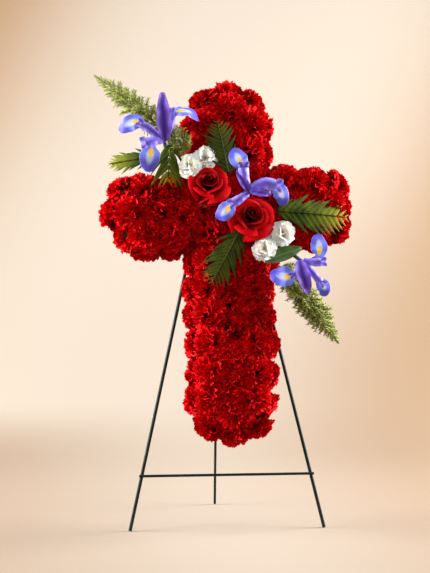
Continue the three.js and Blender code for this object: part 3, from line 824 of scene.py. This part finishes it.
def rose_paint(tree):
    across, along = sheet_place(tree)
    share = own(tree, "part")
    veins = noise(tree, 120, 2.0)
    # Painted shade: the inner petals, and the lower part of every petal, are painted darker, deep in the rose
    heart = tree.mix(share.step(0.1, 0.7), (0.06, 0.0, 0.0004), (0.36, 0.0, 0.002))
    heart = tree.mix(1 - along.step(0.3, 0.75), heart, (0.05, 0.0, 0.0004))
    # Painted highlight: the rolled rims are painted lighter, brightest on the outer petals
    rim = tree.mix(share.step(0.1, 0.7), (0.24, 0.0, 0.001), (0.60, 0.0, 0.003))
    colour = tree.mix(along.step(0.8, 1.0) * 0.8, heart, rim)
    colour = tree.mix(share.step(0.3, 1.0) * veins.step(0.4, 0.7) * 0.3, colour, (0.62, 0.0004, 0.004))
    height = (across * 90).sine() * 0.3 + veins
    return {"Base Color": colour, "Normal": bump(tree, height, 0.0004, 0.35)}


red_rose = finish("red rose velvet", rose_paint, {"Roughness": 0.5, "Specular IOR Level": 0.05})
for name, (place, aim, turn, scale) in ROSES.items():
    installed(rose(name, place, aim, turn, scale, red_rose), [name])

# %% [markdown]
# The small white carnations have fewer, broader petals with a soft wavy margin. They come from the
# same rosette tree as the red ones, with other fans and another petal count.

# %% Small white carnations
SMALL_RADIUS = 22
SMALL_HEADS = {
    "small_carnation_far_left": ((-78, 75, 2), (-0.3, 0.1, 1)),
    "small_carnation_left": ((-47, 92, -2), (0, 0.35, 1)),
    "small_carnation_right": ((93, -52, 4), (0.15, 0, 1)),
    "small_carnation_low": ((60, -82, 6), (0, -0.1, 1)),
}


def white_paint(tree):
    across, along = sheet_place(tree)
    depth = along.step(0.2, 0.8)
    colour = tree.mix(depth, (0.95, 0.94, 0.74), (0.98, 0.97, 0.92))
    colour = tree.mix((along + noise(tree, 300) * 0.1).step(0.9, 1.05) * 0.6, colour, (0.97, 0.96, 0.92))
    return {"Base Color": colour, "Normal": bump(tree, (across * 60).sine() + noise(tree, 200), 0.0004, 0.4)}


white_carnation = finish("small white carnation petals", white_paint, {
    "Roughness": 0.6, "Subsurface Weight": 0.35, "Subsurface Scale": 0.006,
})
white_fans = petal_collection("white_fans", [
    fan_petal(
        f"white_fan_{kind:02d}", fan_chance, columns=10, rows=6, waves=(0.5, 1.0),
        bend=0.3 if kind < FAN_KINDS / 2 else 0.9, ruffle=0.06, tooth=0.0, claw=0.3, fan=0.72,
    )
    for kind in range(FAN_KINDS)
])
white_rosettes = rosette_tree("rosettes of white petals", white_carnation)
for order, (node, (place, aim)) in enumerate(SMALL_HEADS.items()):
    mesh = heads_mesh(node + "_heads", [(spray(*place), Vector(aim), SMALL_RADIUS, LOW_CROWN)])
    grow("petals_" + node, mesh, white_rosettes, {
        "Petals": 34, "Spread": 1.75, "Twist": 0.4, "Nod": 0.12, "Seed": 90 + order,
        "Hidden": 0.0, "Back": -9.0, "Fans": white_fans,
    }, [node])
discard(white_fans)

# %% [markdown]
# A Dutch iris has three falls, which reach out on a narrow haft and droop in a broad blade with a
# yellow signal, a style arm with a forked crest arched over each haft, and upright standards. Each is
# a sheet carried along its own line, given in millimetres from the crossing like the solids, with the
# half width of its broadest place.

# %% Irises
FALL, STYLE, STANDARD, STEM = 0, 1, 2, 3
IRISES = {
    "iris_centre": ((31, 20, 32), (18, 21, 6), [
        (FALL, 17, [(31, 24, 28), (25, 44, 38), (18, 63, 43), (11, 76, 43), (6, 89, 38), (0, 100, 28)]),
        (FALL, 15, [(31, 22, 28), (52, 25, 38), (72, 25, 43), (84, 18, 43), (90, 7, 36), (90, -5, 25)]),
        (FALL, 16, [(29, 18, 28), (12, 7, 37), (-3, -5, 40), (-12, -14, 37), (-21, -23, 29),
            (-28, -30, 19)]),
        (STYLE, 10, [(31, 19, 34), (23, 35, 43), (19, 51, 48), (18, 66, 48)]),
        (STYLE, 12, [(29, 22, 34), (42, 28, 45), (60, 32, 50), (82, 27, 48)]),
        (STYLE, 9, [(28, 16, 36), (16, 8, 44), (6, 1, 46), (-6, -6, 43)]),
        (STANDARD, 8, [(28, 18, 36), (20, 31, 44), (12, 46, 45), (9, 60, 40)]),
        (STANDARD, 7, [(31, 20, 34), (42, 17, 42), (57, 14, 43), (69, 16, 38)]),
    ]),
    "iris_upper_left": ((-124, 119, 14), (-118, 96, 0), [
        (FALL, 16, [(-120, 126, 8), (-111, 151, 14), (-102, 171, 18), (-89, 175, 18), (-74, 174, 13),
            (-58, 160, 3)]),
        (FALL, 16, [(-130, 124, 12), (-148, 138, 19), (-165, 149, 24), (-179, 152, 24),
            (-194, 146, 18), (-205, 137, 8)]),
        (FALL, 19, [(-126, 119, 12), (-138, 115, 21), (-147, 105, 26), (-150, 91, 26), (-153, 75, 20),
            (-154, 61, 9)]),
        (STYLE, 6, [(-121, 122, 14), (-113, 141, 20), (-109, 160, 22), (-110, 176, 19)]),
        (STYLE, 8, [(-125, 119, 20), (-139, 128, 27), (-154, 139, 31), (-170, 148, 31)]),
        (STYLE, 11, [(-126, 118, 20), (-139, 117, 28), (-150, 112, 33), (-163, 109, 34)]),
        (STANDARD, 14, [(-122, 118, 18), (-124, 136, 27), (-125, 157, 33), (-127, 181, 35),
            (-127, 206, 31)]),
    ]),
    "iris_lower_right": ((129, -108, 14), (96, -78, -6), [
        (FALL, 16, [(132, -105, 10), (144, -104, 17), (155, -98, 23), (157, -86, 25), (157, -70, 21),
            (156, -55, 11)]),
        (FALL, 19, [(127, -112, 8), (117, -127, 15), (107, -137, 21), (95, -136, 21), (81, -133, 16),
            (67, -130, 7)]),
        (FALL, 13, [(130, -111, 10), (144, -127, 17), (155, -142, 21), (163, -153, 21),
            (166, -160, 17), (162, -170, 9)]),
        (STYLE, 8, [(128, -104, 16), (138, -108, 23), (150, -110, 28), (164, -110, 28)]),
        (STYLE, 6, [(126, -108, 14), (119, -120, 22), (112, -130, 25), (104, -135, 24)]),
        (STYLE, 7, [(129, -110, 18), (140, -125, 26), (151, -139, 29), (162, -151, 27)]),
        (STANDARD, 13, [(121, -105, 18), (122, -121, 26), (126, -138, 28), (131, -154, 24),
            (136, -166, 16)]),
    ]),
}
SIDE_ON = Vector((0, 0.65, 0.76))


def fall_width(half):
    def width(v):
        blade = math.sin(math.pi * min(max((v - 0.36) / 0.66, 0), 1) ** 0.85) ** 0.7 if v > 0.36 else 0
        return 3.6 + (half - 3.6) * blade - 2.5 * eased(v, 0.96, 1)

    return width


def style_width(half):
    return lambda v: half * (0.55 + 0.45 * math.sin(math.pi * 0.62 * v)) * (1 - 0.25 * eased(v, 0.85, 1))


def standard_width(half):
    return lambda v: 1.5 + (half - 1.5) * math.sin(math.pi * (0.06 + 0.9 * v**0.85)) ** 0.8


WIDTHS = {
    FALL: (fall_width, -0.12, 2.0),
    STYLE: (style_width, -0.5, 0.9),
    STANDARD: (standard_width, 0.35, 1.0),
}


def crest(sheets, line, half):
    """The two upturned lobes at the end of a style arm."""
    end = line[-1]
    ahead = (end - line[-2]).normalized()
    aside = ahead.cross(OUT).normalized()
    for way in (-1, 1):
        lobe = [
            end - ahead * 5 + aside * way * half * 0.35,
            end + ahead * 1 + aside * way * half * 0.6 + OUT * 3,
            end + ahead * 5 + aside * way * half * 1.0 + OUT * 3,
        ]
        width = lambda v: half * 0.62 * math.sin(math.pi * (0.2 + 0.76 * v)) ** 1.1
        sheets.along(lobe, width, cup=0.3, ripple=1.2, rows=6, columns=6, part=STYLE, phase=way)


def stalk(sheets, start, end, radius, part):
    """A short round stalk between two places."""
    ahead = (end - start).normalized()
    side = ahead.orthogonal().normalized()
    up = side.cross(ahead)

    def place(u, v):
        turn = math.pi * u
        swell = radius * (1 + 0.3 * math.sin(math.pi * v))
        return start.lerp(end, v) + (side * math.cos(turn) + up * math.sin(turn)) * swell

    sheets.grid(6, 10, place, part)


def iris(name, hub, tuck, petals, material):
    sheets = Sheets()
    chance = random.Random(name)
    for kind, half, places in petals:
        line = [spray(*place) for place in places]
        width, cup, ripple = WIDTHS[kind]
        seen_side_on = kind == FALL and places[-1][0] > -80 and name == "iris_upper_left"
        sheets.along(
            line, width(half), cup=cup, ripple=ripple, rows=22, columns=10, part=kind,
            face=SIDE_ON if seen_side_on else OUT, phase=chance.uniform(0, 6),
        )
        if kind == STYLE:
            crest(sheets, line, half)
    stalk(sheets, spray(*hub) - OUT * 3, spray(*tuck), 2.7, STEM)
    return sheets.piece("petals_" + name, 0.6, material)


def iris_paint(tree):
    across, along = sheet_place(tree)
    part = own(tree, "part")
    aside = ((across - 0.5) * 2).size()
    veins = (across * 110 + along * 6).sine() * 0.5 + noise(tree, 180, 3.0)
    blade = tree.mix(along.step(0.5, 0.95), (0.17, 0.24, 0.82), (0.075, 0.06, 0.55))
    blade = tree.mix(aside.step(0.55, 0.9) * 0.6, blade, (0.11, 0.09, 0.58))
    # Painted highlight: the edges of the blades are painted pale, broken up by the veins
    blade = tree.mix(aside.step(0.9, 1.0) * 0.5 * veins.step(0.1, 0.8), blade, (0.48, 0.50, 0.92))
    blade = tree.mix(1 - along.step(0.3, 0.45), blade, (0.13, 0.07, 0.52))
    blade = tree.mix(veins.step(0.3, 1.0) * 0.3 * along.step(0.4, 0.6), blade, (0.06, 0.05, 0.42))
    above, below = (along - 0.54) * 5.4, (along - 0.64) * 4.2
    halo = 1 - (aside * aside * 4.0 + below * below).step(0.1, 1.0)
    signal = 1 - (aside * aside * 7 + above * above).step(0.35, 0.6)
    blade = tree.mix(halo * (0.45 + veins * 0.3), blade, (0.66, 0.74, 0.98))
    blade = tree.mix(signal, blade, (0.90, 0.55, 0.02))
    arm = tree.mix(aside.step(0.05, 0.85), (0.10, 0.05, 0.48), (0.26, 0.21, 0.76))
    arm = tree.mix(along.step(0.7, 1.0) * 0.5, arm, (0.30, 0.30, 0.86))
    tall = tree.mix(aside.step(0.0, 0.6), (0.045, 0.012, 0.33), (0.15, 0.065, 0.52))
    tall = tree.mix(along.step(0.7, 1.0) * 0.5, tall, (0.25, 0.13, 0.58))
    colour = tree.mix(part.above(FALL + 0.5), blade, arm)
    colour = tree.mix(part.above(STYLE + 0.5), colour, tall)
    stem = tree.mix(along.step(0.15, 0.4), (0.05, 0.02, 0.26), (0.04, 0.09, 0.02))
    colour = tree.mix(part.above(STANDARD + 0.5), colour, stem)
    return {"Base Color": colour, "Normal": bump(tree, veins, 0.0004, 0.3)}


blue_iris = finish("blue iris petals", iris_paint, {"Roughness": 0.45, "Specular IOR Level": 0.35})
for name, facts in IRISES.items():
    installed(iris(name, *facts, blue_iris), [name])

# %% [markdown]
# A fern frond is a stalk with leaflets in pairs, longest a third of the way up and shorter to the tip.
# One serrated leaflet is drawn for each hand, curved towards the frond's tip, and a tree sets them along
# the stalk. Each hand is drawn rather than mirrored, so that no leaflet is inside out.

# %% Fern fronds
FRONDS = {
    "fern_upper": ((-6, 62, 8), (-24, 157, 4), 6, 13, 36, 0.12, 1.0, 0.14),
    "fern_right": ((86, -12, 14), (213, -20, -8), 10, 12, 44, 0.14, 0.95, 0.10),
    "fern_lower": ((12, -50, 12), (-38, -142, 3), 6, 14, 41, 0.105, 0.95, 0.14),
    "fern_left": ((-136, 92, 6), (-223, 83, -20), 8, 13, 30, 0.15, 0.8, 0.04),
    "fern_drooping": ((-112, 112, 8), (-117, 50, 3), 9, 6, 50, 0.10, 0.75, 0.02),
}


def leaflet(name, half, teeth, bite, hand):
    """A unit leaflet along X, serrated, folded along its midrib, drooping and curved to its tip."""
    points, uvs, faces = [], [], []
    stations = teeth * 2
    for station in range(stations + 1):
        t = station / stations
        wide = half * (0.75 + 0.25 * math.sin(math.pi * min(t * 1.6 + 0.12, 1))) * (1 - t**2.2) + 0.004
        wide *= 1 + bite if station % 2 else 1 - bite
        for side in (-1, 0, 1):
            sweep = 0.035 * abs(side)
            droop = -0.16 * t * t - 0.3 * wide * abs(side)
            points.append((t + sweep * (1 - t), side * wide - hand * 0.2 * t * t, droop))
            uvs.append(((side + 1) / 2, t))
    for station in range(stations):
        for side in (0, 1):
            corner = station * 3 + side
            faces.append((corner, corner + 3, corner + 4, corner + 1))
    return mesh_of(name, points, faces, uvs)


def frond_tree(name, material):
    tree, given = new_tree(name, {
        "Pairs": ("Int", 10),
        "Reach": ("Float", 0.034),
        "Lean": ("Float", 1.0),
        "Stalk": ("Float", 0.0014),
        "Seed": ("Int", 1),
        "Left leaflet": ("Object", None),
        "Right leaflet": ("Object", None),
        "Face": ("Vector", None),
    })
    stalk = tree.node("GeometryNodeMeshToCurve", {0: given["Geometry"]})
    dots, tangent = tree.points_along(stalk, given["Pairs"])
    share = (tree.node("GeometryNodeInputIndex") + 0.4) / given["Pairs"]
    long = (share * 2.40 + 0.69).sine() ** 0.8
    parts = []
    for side, hand in ((-1, "Right leaflet"), (1, "Left leaflet")):
        leaf = tree.node("GeometryNodeObjectInfo", {"Object": given[hand]}, 4)
        chance = tree.chance(-0.1, 0.1, side)
        stand = tree.pointed(tangent, given["Face"], "X", "Z")
        stand = tree.swung(stand, tuple(OUT), (given["Lean"] + chance) * side)
        size = long * given["Reach"] * (1 + chance)
        parts.append(tree.grown(dots, leaf, stand, size, {"frond_share": share}))
    return end_tree(tree, tree.joined(*parts, tree.rod(stalk, given["Stalk"])), material)


def bowed(base, tip, bow, count):
    """Points of a line that rises by bow in its middle."""
    start, end = spray(*base), spray(*tip)
    middle = (start + end) / 2 + OUT * bow
    shares = [step / (count - 1) for step in range(count)]
    return [start * (1 - t) ** 2 + middle * 2 * t * (1 - t) + end * t * t for t in shares]


def stem_mesh(name, points):
    return line_mesh(name, [on_easel(*point) for point in points])


def fern_paint(dark, light, tip):
    def paint(tree):
        across, along = sheet_place(tree)
        rib = 1 - ((across - 0.5) * 2).size().step(0.0, 0.2)
        veins = ((across - 0.5).size() * 30 - along * 60).sine()
        patch = noise(tree, 45, 2.0)
        colour = tree.mix(patch.step(0.35, 0.7), dark, light)
        colour = tree.mix(own(tree, "frond_share").step(0.3, 1.0), colour, tip)
        colour = tree.mix(rib * 0.35, colour, (0.16, 0.20, 0.05))
        return {"Base Color": colour, "Normal": bump(tree, veins * 0.3 + rib, 0.0003, 0.3)}

    return paint


# Two copies of one fern finish: the lighter one, yellower to the tips, is painted as lit by the side lights,
# and the dark one is painted as shaded
FERN_SHADES = {
    "dark": [(0.014, 0.024, 0.001), (0.045, 0.058, 0.002), (0.070, 0.075, 0.003)],
    "young": [(0.018, 0.038, 0.001), (0.065, 0.095, 0.002), (0.22, 0.23, 0.004)],
}
fern_shades = {
    shade: finish(shade + " fern leaflets", fern_paint(*colours), {
        "Roughness": 0.55, "Specular IOR Level": 0.1,
    })
    for shade, colours in FERN_SHADES.items()
}
for order, (node, (base, tip, bow, pairs, reach, half, lean, bite)) in enumerate(FRONDS.items()):
    # Painted light and shade: ferns at the sides take the lit copy, those in the middle the shaded one
    shade = fern_shades["dark" if node in ("fern_upper", "fern_lower") else "young"]
    tree = frond_tree("frond of leaflets " + node, shade)
    left, right = (
        bpy.data.objects.new(f"leaflet_{hand}", leaflet(f"leaflet_{hand}", half, 7, bite, hand))
        for hand in (1, -1)
    )
    grow("fronds_" + node, stem_mesh(node + "_stalk", bowed(base, tip, bow, 24)), tree, {
        "Pairs": pairs, "Reach": reach * MM * 1.1, "Lean": lean, "Seed": 200 + order,
        "Left leaflet": left, "Right leaflet": right, "Face": tuple(facing),
    }, [node])
    for leaf in (left, right):
        bpy.data.objects.remove(leaf)

# %% [markdown]
# A foxtail fern is a bottle brush: short twigs stand all round a stem, and every twig is a tuft of
# soft needles. One tuft is drawn, with spikes of three faces, and the tree winds it up the stem.

# %% Foxtail plumes
FOXTAILS = {
    "foxtail_upper_left": ((-76, 104, 0), (-252, 255, -28), 10),
    "foxtail_lower_right": ((86, -112, -6), (200, -252, -42), 10),
}


def tuft(name, needles, chance):
    """A unit twig along Z with needles that spray forwards from it."""
    points, faces = [], []

    def spike(root, tip, wide):
        along = (tip - root).normalized()
        side = along.orthogonal().normalized()
        start = len(points)
        for turn in (0, 2.094, 4.189):
            points.append(root + (side * math.cos(turn) + along.cross(side) * math.sin(turn)) * wide)
        points.append(tip)
        sides = ((0, 1), (1, 2), (2, 0))
        faces.extend((start + first, start + second, start + 3) for first, second in sides)

    spike(Vector((0, 0, -0.1)), Vector((0, 0, 1.0)), 0.03)
    for needle in range(needles):
        height = 0.3 + 0.65 * needle / needles
        turn = needle * GOLDEN_ANGLE
        reach = 0.32 * (1 - 0.3 * height) * chance.uniform(0.8, 1.15)
        root = Vector((0, 0, height))
        aim = Vector((math.cos(turn), math.sin(turn), chance.uniform(0.3, 0.9))).normalized()
        spike(root, root + aim * reach, 0.04)
    return mesh_of(name, points, faces)


def plume_tree(name, material):
    tree, given = new_tree(name, {
        "Tufts": ("Int", 360),
        "Reach": ("Float", 0.030),
        "Stem": ("Float", 0.0014),
        "Seed": ("Int", 1),
        "Tuft": ("Object", None),
        "Face": ("Vector", None),
    })

    stem = tree.node("GeometryNodeMeshToCurve", {0: given["Geometry"]})
    dots, tangent = tree.points_along(stem, given["Tufts"])
    order = tree.node("GeometryNodeInputIndex")
    share = order / given["Tufts"]
    stand = tree.pointed(tangent, given["Face"], "Z", "X")
    stand = tree.swung(stand, tuple(OUT), order * GOLDEN_ANGLE + tree.chance(-0.4, 0.4, 0))
    stand = tree.swung(stand, (0, 1, 0), 1.15 - share**3 * 0.5 + tree.chance(-0.2, 0.2, 1))
    cone = (1.003 - share) ** 0.7 * 1.9
    long = cone.smaller(1.0) * given["Reach"] * tree.chance(0.75, 1.12, 2)
    brush = tree.node("GeometryNodeObjectInfo", {"Object": given["Tuft"]}, 4)
    facts = {"tuft_shade": tree.chance(0.0, 0.75, 3) + share * 0.25}
    needles = tree.grown(dots, brush, stand, long, facts)
    return end_tree(tree, tree.joined(needles, tree.rod(stem, given["Stem"])), material)


def foxtail_paint(tree):
    shade = own(tree, "tuft_shade")
    patch = noise(tree, 90, 2.0)
    colour = tree.mix(shade, (0.06, 0.09, 0.003), (0.33, 0.37, 0.03))
    colour = tree.mix(patch.step(0.5, 0.75) * 0.35, colour, (0.52, 0.53, 0.14))
    return {"Base Color": colour}


foxtail_green = finish("foxtail needles", foxtail_paint, {"Roughness": 0.55})
plumes = plume_tree("plume of tufts", foxtail_green)
needle_tuft = bpy.data.objects.new("tuft", tuft("tuft", 14, random.Random(8)))
for order, (node, (base, tip, bow)) in enumerate(FOXTAILS.items()):
    sizes = {"Seed": 300 + 10 * order, "Tuft": needle_tuft, "Face": tuple(facing)}
    stem = stem_mesh(node + "_stem", bowed(base, tip, bow, 30))
    grow("needles_" + node, stem, plumes, sizes, [node])
bpy.data.objects.remove(needle_tuft)

# %% [markdown]
# One broad leaf lies under the lower iris. It is a single sheet folded a little along its middle, with
# a glossy skin and pale parallel veins.

# %% Broad leaf
LEAF = ((58, -104, 6), (128, -80, 4), 8)


def leaf_paint(tree):
    across, along = sheet_place(tree)
    rib = 1 - ((across - 0.5) * 2).size().step(0.0, 0.12)
    veins = (across * 95).sine()
    colour = tree.mix(noise(tree, 60).step(0.3, 0.7), (0.025, 0.075, 0.012), (0.06, 0.14, 0.025))
    colour = tree.mix(rib * 0.6, colour, (0.22, 0.32, 0.09))
    return {"Base Color": colour, "Normal": bump(tree, veins * 0.4 + rib, 0.0004, 0.4)}


leaf_green = finish("broad leaf skin", leaf_paint, {"Roughness": 0.32})
leaf_sheets = Sheets()
leaf_sheets.along(
    bowed(*LEAF, 8), lambda v: 13 * math.sin(math.pi * (0.1 + 0.86 * v)) ** 0.9 + 0.4,
    cup=0.25, ripple=0.5, rows=18, columns=8,
)
installed(leaf_sheets.piece("leaf_sheet", 0.6, leaf_green), ["broad_leaf"])

# %% [markdown]
# The easel is bent and welded from round wire and dipped in dark green paint. A tree sweeps a circle
# along each wire's line, with its bends rounded. Short beads of weld join the bars to the legs.

# %% Easel wires
def wire_tree(name, material):
    tree, given = new_tree(name, {
        "Radius": ("Float", 0.003),
        "Bend": ("Float", 0.002),
        "Sides": ("Int", 20),
    })
    line = tree.node("GeometryNodeMeshToCurve", {0: given["Geometry"]})
    inputs = {"Curve": line, "Count": 5, "Radius": given["Bend"], "Limit Radius": True}
    line = tree.node("GeometryNodeFilletCurve", inputs, mode="POLY")
    return end_tree(tree, tree.rod(line, given["Radius"], given["Sides"]), material)


def paint_of_wire(tree):
    drips = noise(tree, 40, 3.0)
    colour = tree.mix(drips.step(0.3, 0.75), (0.003, 0.008, 0.008), (0.006, 0.016, 0.016))
    rough = 0.28 + noise(tree, 300, 2.0) * 0.25
    skin = bump(tree, noise(tree, 220, 2.0), 0.0002, 0.5)
    return {"Base Color": colour, "Roughness": rough, "Normal": skin}


def bare_wire(tree):
    drawn = noise(tree, 500, 2.0, (8, 8, 0.5))
    colour = tree.mix(drawn, (0.32, 0.33, 0.33), (0.60, 0.60, 0.58))
    return {"Base Color": colour, "Roughness": 0.25 + drawn * 0.25}


easel_paint = finish("dark green easel paint", paint_of_wire, {"Specular IOR Level": 0.14})
hook_metal = finish("bare hook wire", bare_wire, {"Metallic": 1.0})


# A foot is square to its slanting wire, so it is cut short to stand on the floor with its lower rim
FOOT_TRIM = 1.9


def wire_line(node):
    """The centre line of a straight wire, from the ends of its solid."""
    points = corners_of(node)
    middle = points.mean(axis=0)
    axis = np.linalg.svd(points - middle)[2][0]
    spans = (points - middle) @ axis
    ends = [Vector(middle + axis * span) for span in (spans.min(), spans.max())]
    low, high = sorted(ends, key=lambda end: end.z)
    if low.z < FOOT_TRIM * MM:
        low += (high - low).normalized() * FOOT_TRIM * MM
    return ends


def wire(name, points, thickness, tree, nodes, body="easel_and_cross", bend=2.0):
    sizes = {"Radius": thickness / 2 * MM, "Bend": bend * MM}
    grow(name, line_mesh(name + "_line", points), tree, sizes, nodes, body)


LEG_WIRE, BAR_WIRE, HOOK_WIRE = 6.4, 5, 3
easel_wires = wire_tree("easel wires", easel_paint)
for node in ("easel_left_leg", "easel_right_leg", "easel_crossbar", "easel_pivot_bar", "easel_stop_bar"):
    thickness = LEG_WIRE if node in LEGS else BAR_WIRE
    wire("painted_" + node, wire_line(node), thickness, easel_wires, [node])

# %% [markdown]
# The rear leg's wire goes once round the pivot bar and ends in a short tail, so that the bar is its
# hinge pin. Its turn is a helix one wire wide, from the rod behind the bar to the tail beside it.

# %% Rear leg and hook
PIVOT_SLOPE, STOP_SLOPE, STOP_OUT = 715, 734.04, 0.32
PIVOT_OUT, EYE_RADIUS, EYE_SHIFT, EYE_STEPS, REAR_TAIL = -5.8, 5.6, 2.65, 28, 29
HOOK_SIDE, HOOK_CLEAR, HOOK_DROP = -6.95, 4.3, 9


def rear_leg_line():
    rod = sorted(wire_line("easel_rear_leg"), key=lambda point: point.z)
    up = (rod[1] - rod[0]).normalized()
    back = up.cross(Vector((1, 0, 0)))
    pivot = on_easel(0, PIVOT_SLOPE, PIVOT_OUT)
    points = [rod[0]]
    for step in range(EYE_STEPS + 1):
        turn = 2 * math.pi * step / EYE_STEPS
        aside = Vector((-EYE_SHIFT + 2 * EYE_SHIFT * step / EYE_STEPS, 0, 0)) * MM
        points.append(pivot + aside + (back * math.cos(turn) + up * math.sin(turn)) * EYE_RADIUS * MM)
    points.append(points[-1] + up * REAR_TAIL * MM)
    return points


rear_nodes = ["easel_rear_leg", "easel_rear_leg_eye"]
rear_line = rear_leg_line()
wire("painted_easel_rear_leg", rear_line, BAR_WIRE, easel_wires, rear_nodes, "rear_leg", 0.0)
hook_line = [
    on_easel(HOOK_SIDE, STOP_SLOPE + HOOK_CLEAR, FOAM_BACK),
    on_easel(HOOK_SIDE, STOP_SLOPE + HOOK_CLEAR, STOP_OUT - HOOK_CLEAR),
    on_easel(HOOK_SIDE, STOP_SLOPE - HOOK_DROP, STOP_OUT - HOOK_CLEAR),
]
hook_wires = wire_tree("hook wire", hook_metal)
wire("bent_hanger_hook", hook_line, HOOK_WIRE, hook_wires, ["hanger_hook"])

# %% [markdown]
# The bars are spot welded to the legs, which leaves a small squashed bead in each crossing. Six beads
# are one mesh: each is a ball drawn out along its bar, with a slightly uneven skin.

# %% Weld beads
CROSSBAR_SLOPE, WELD_OUT, STOP_WELD_INSET = 100, 2.9, 3
BEAD_SIZE = (3.4, 2.9, 1.9)


def bead(points, faces, centre, size, chance):
    start, rings, sides = len(points), 6, 10
    for ring in range(1, rings):
        polar = math.pi * ring / rings
        for side in range(sides):
            turn = 2 * math.pi * side / sides
            skin = chance.uniform(0.93, 1.05)
            wide = math.sin(polar)
            local = Vector((wide * math.cos(turn), math.cos(polar), wide * math.sin(turn)))
            points.append(on_easel(*(centre + Vector([a * b * skin for a, b in zip(local, size)]))))
    for pole in (1, -1):
        points.append(on_easel(*(centre + Vector((0, pole * size[1], 0)))))
    for side in range(sides):
        after = (side + 1) % sides
        for ring in range(rings - 2):
            low = start + ring * sides
            faces.append((low + side, low + after, low + sides + after, low + sides + side))
        faces.append((len(points) - 2, start + after, start + side))
        last = start + (rings - 2) * sides
        faces.append((len(points) - 1, last + side, last + after))


def leg_reach(up):
    """How far right of the middle a front leg is at this height up the slope."""
    leg = wire_line("easel_right_leg")
    places = sorted(((point - feet_middle).dot(slope) / MM, (point - feet_middle).x / MM) for point in leg)
    return float(np.interp(up, [place[0] for place in places], [place[1] for place in places]))


bead_points, bead_faces = [], []
bead_chance = random.Random(12)
for up, out in ((CROSSBAR_SLOPE, WELD_OUT), (PIVOT_SLOPE, -WELD_OUT), (STOP_SLOPE, 0)):
    for side in (-1, 1):
        place = Vector((side * (leg_reach(up) - (0 if out else STOP_WELD_INSET)), up, out))
        bead(bead_points, bead_faces, place, BEAD_SIZE, bead_chance)
welds = shown("weld_beads", mesh_of("weld_beads", bead_points, bead_faces))
welds.data.materials.append(easel_paint)
installed(welds, [])

# %% [markdown]
# The foam cross keeps its solid's shape. Wet floral foam is a dull green with fine open pores, and it
# shows only from behind, framed by the heads.

# %% Floral foam


def foam_paint(tree):
    pores = noise(tree, 700, 2.0)
    stain = noise(tree, 25, 2.0)
    colour = tree.mix(stain.step(0.35, 0.7), (0.020, 0.055, 0.018), (0.040, 0.095, 0.030))
    colour = tree.mix(pores.step(0.5, 0.7), colour, (0.010, 0.028, 0.010))
    return {"Base Color": colour, "Normal": bump(tree, pores, 0.0006, 0.6)}


floral_foam = finish("green floral foam", foam_paint, {"Roughness": 0.9, "Specular IOR Level": 0.15})
foam = frame["nodes"]["foam_cross"]
for slot in foam.material_slots:
    slot.material = floral_foam
print("foam slots:", len(foam.material_slots))

# %% [markdown]
# A photographer's backdrop is one sheet that curves up behind the object, so that floor and wall have
# no edge between them. Two soft lights from the sides and one from above leave the middle of the cross
# darker than its flanks, and a weak one beside the camera fills the shadows.

# %% Backdrop and lights


def backdrop():
    front, back, bend, half, top = -4.0, 1.6, 1.0, 5.0, 4.5
    profile = [(front, 0.0), (back - bend, 0.0)]
    turns = 16
    for step in range(1, turns + 1):
        angle = math.pi / 2 * step / turns
        profile.append((back - bend + bend * math.sin(angle), bend - bend * math.cos(angle)))
    profile.append((back, top))
    points = [(side * half, y, z) for y, z in profile for side in (-1, 1)]
    sweep = shown("backdrop", mesh_of("backdrop", points, grid_faces(0, len(profile) - 1, 1)))

    def paint(tree):
        aside, height = parts_of(tree, object_place(tree), (0, 2))
        # Painted light: a slanting band of light across the paper, which is painted darker and browner away
        # from it
        diagonal = (aside - height * 0.5 + 0.28) / 0.8
        painted_light = (1 - diagonal * diagonal).step(-0.25, 1.0)
        colour = tree.mix(painted_light, (0.215, 0.136, 0.074), (0.326, 0.288, 0.247))
        # Painted shade: low on the wall, more so on the right, and on the floor, more so on the left
        low = (1 - height.step(0.0, 0.8)) * (0.2 + aside.step(-0.1, 0.8) * 0.5)
        low = low + (1 - height.step(0.0, 0.1)) * (0.72 - aside.step(-0.6, 0.1) * 0.58)
        colour = tree.mix(low, colour, (0.182, 0.126, 0.083))
        return {"Base Color": colour}

    sweep.data.materials.append(finish("warm backdrop paper", paint, {"Roughness": 0.9}))
    sweep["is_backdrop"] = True


def soft_light(name, place, target, size, power, colour):
    light = bpy.data.objects.new(name, bpy.data.lights.new(name, "AREA"))
    bpy.context.scene.collection.objects.link(light)
    light.location = place
    light.rotation_euler = (Vector(target) - Vector(place)).to_track_quat("-Z", "Y").to_euler()
    light.data.size = size
    light.data.energy = power
    light.data.color = colour


backdrop()
SOFT_WHITE = (1.0, 0.98, 0.95)
soft_light("left softbox", (-1.8, 0.0, 1.0), (0, 0.05, 0.5), 1.1, 128, SOFT_WHITE)
soft_light("right softbox", (1.8, 0.1, 1.0), (0, 0.05, 0.5), 1.1, 148, SOFT_WHITE)
soft_light("top softbox", (0.2, -0.3, 2.5), (0, 0.2, 0.3), 1.4, 20, SOFT_WHITE)
soft_light("camera fill", (-0.4, -3.2, 1.4), (0, 0, 0.5), 1.4, 13, SOFT_WHITE)
world = bpy.data.worlds.new("studio")
world.use_nodes = True
bpy.context.scene.world = world
bpy.context.scene.view_settings.view_transform = "Standard"
world.node_tree.nodes["Background"].inputs["Color"].default_value = (1.0, 0.97, 0.93, 1)
world.node_tree.nodes["Background"].inputs["Strength"].default_value = 0.22

# %% [markdown]
# The last cell gives the size of the dressed part beside that of the solids.

# %% Finish
sizes = {"cad": cad_box, "visual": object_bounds()}
{name: [list(corner) for corner in box] for name, box in sizes.items()}
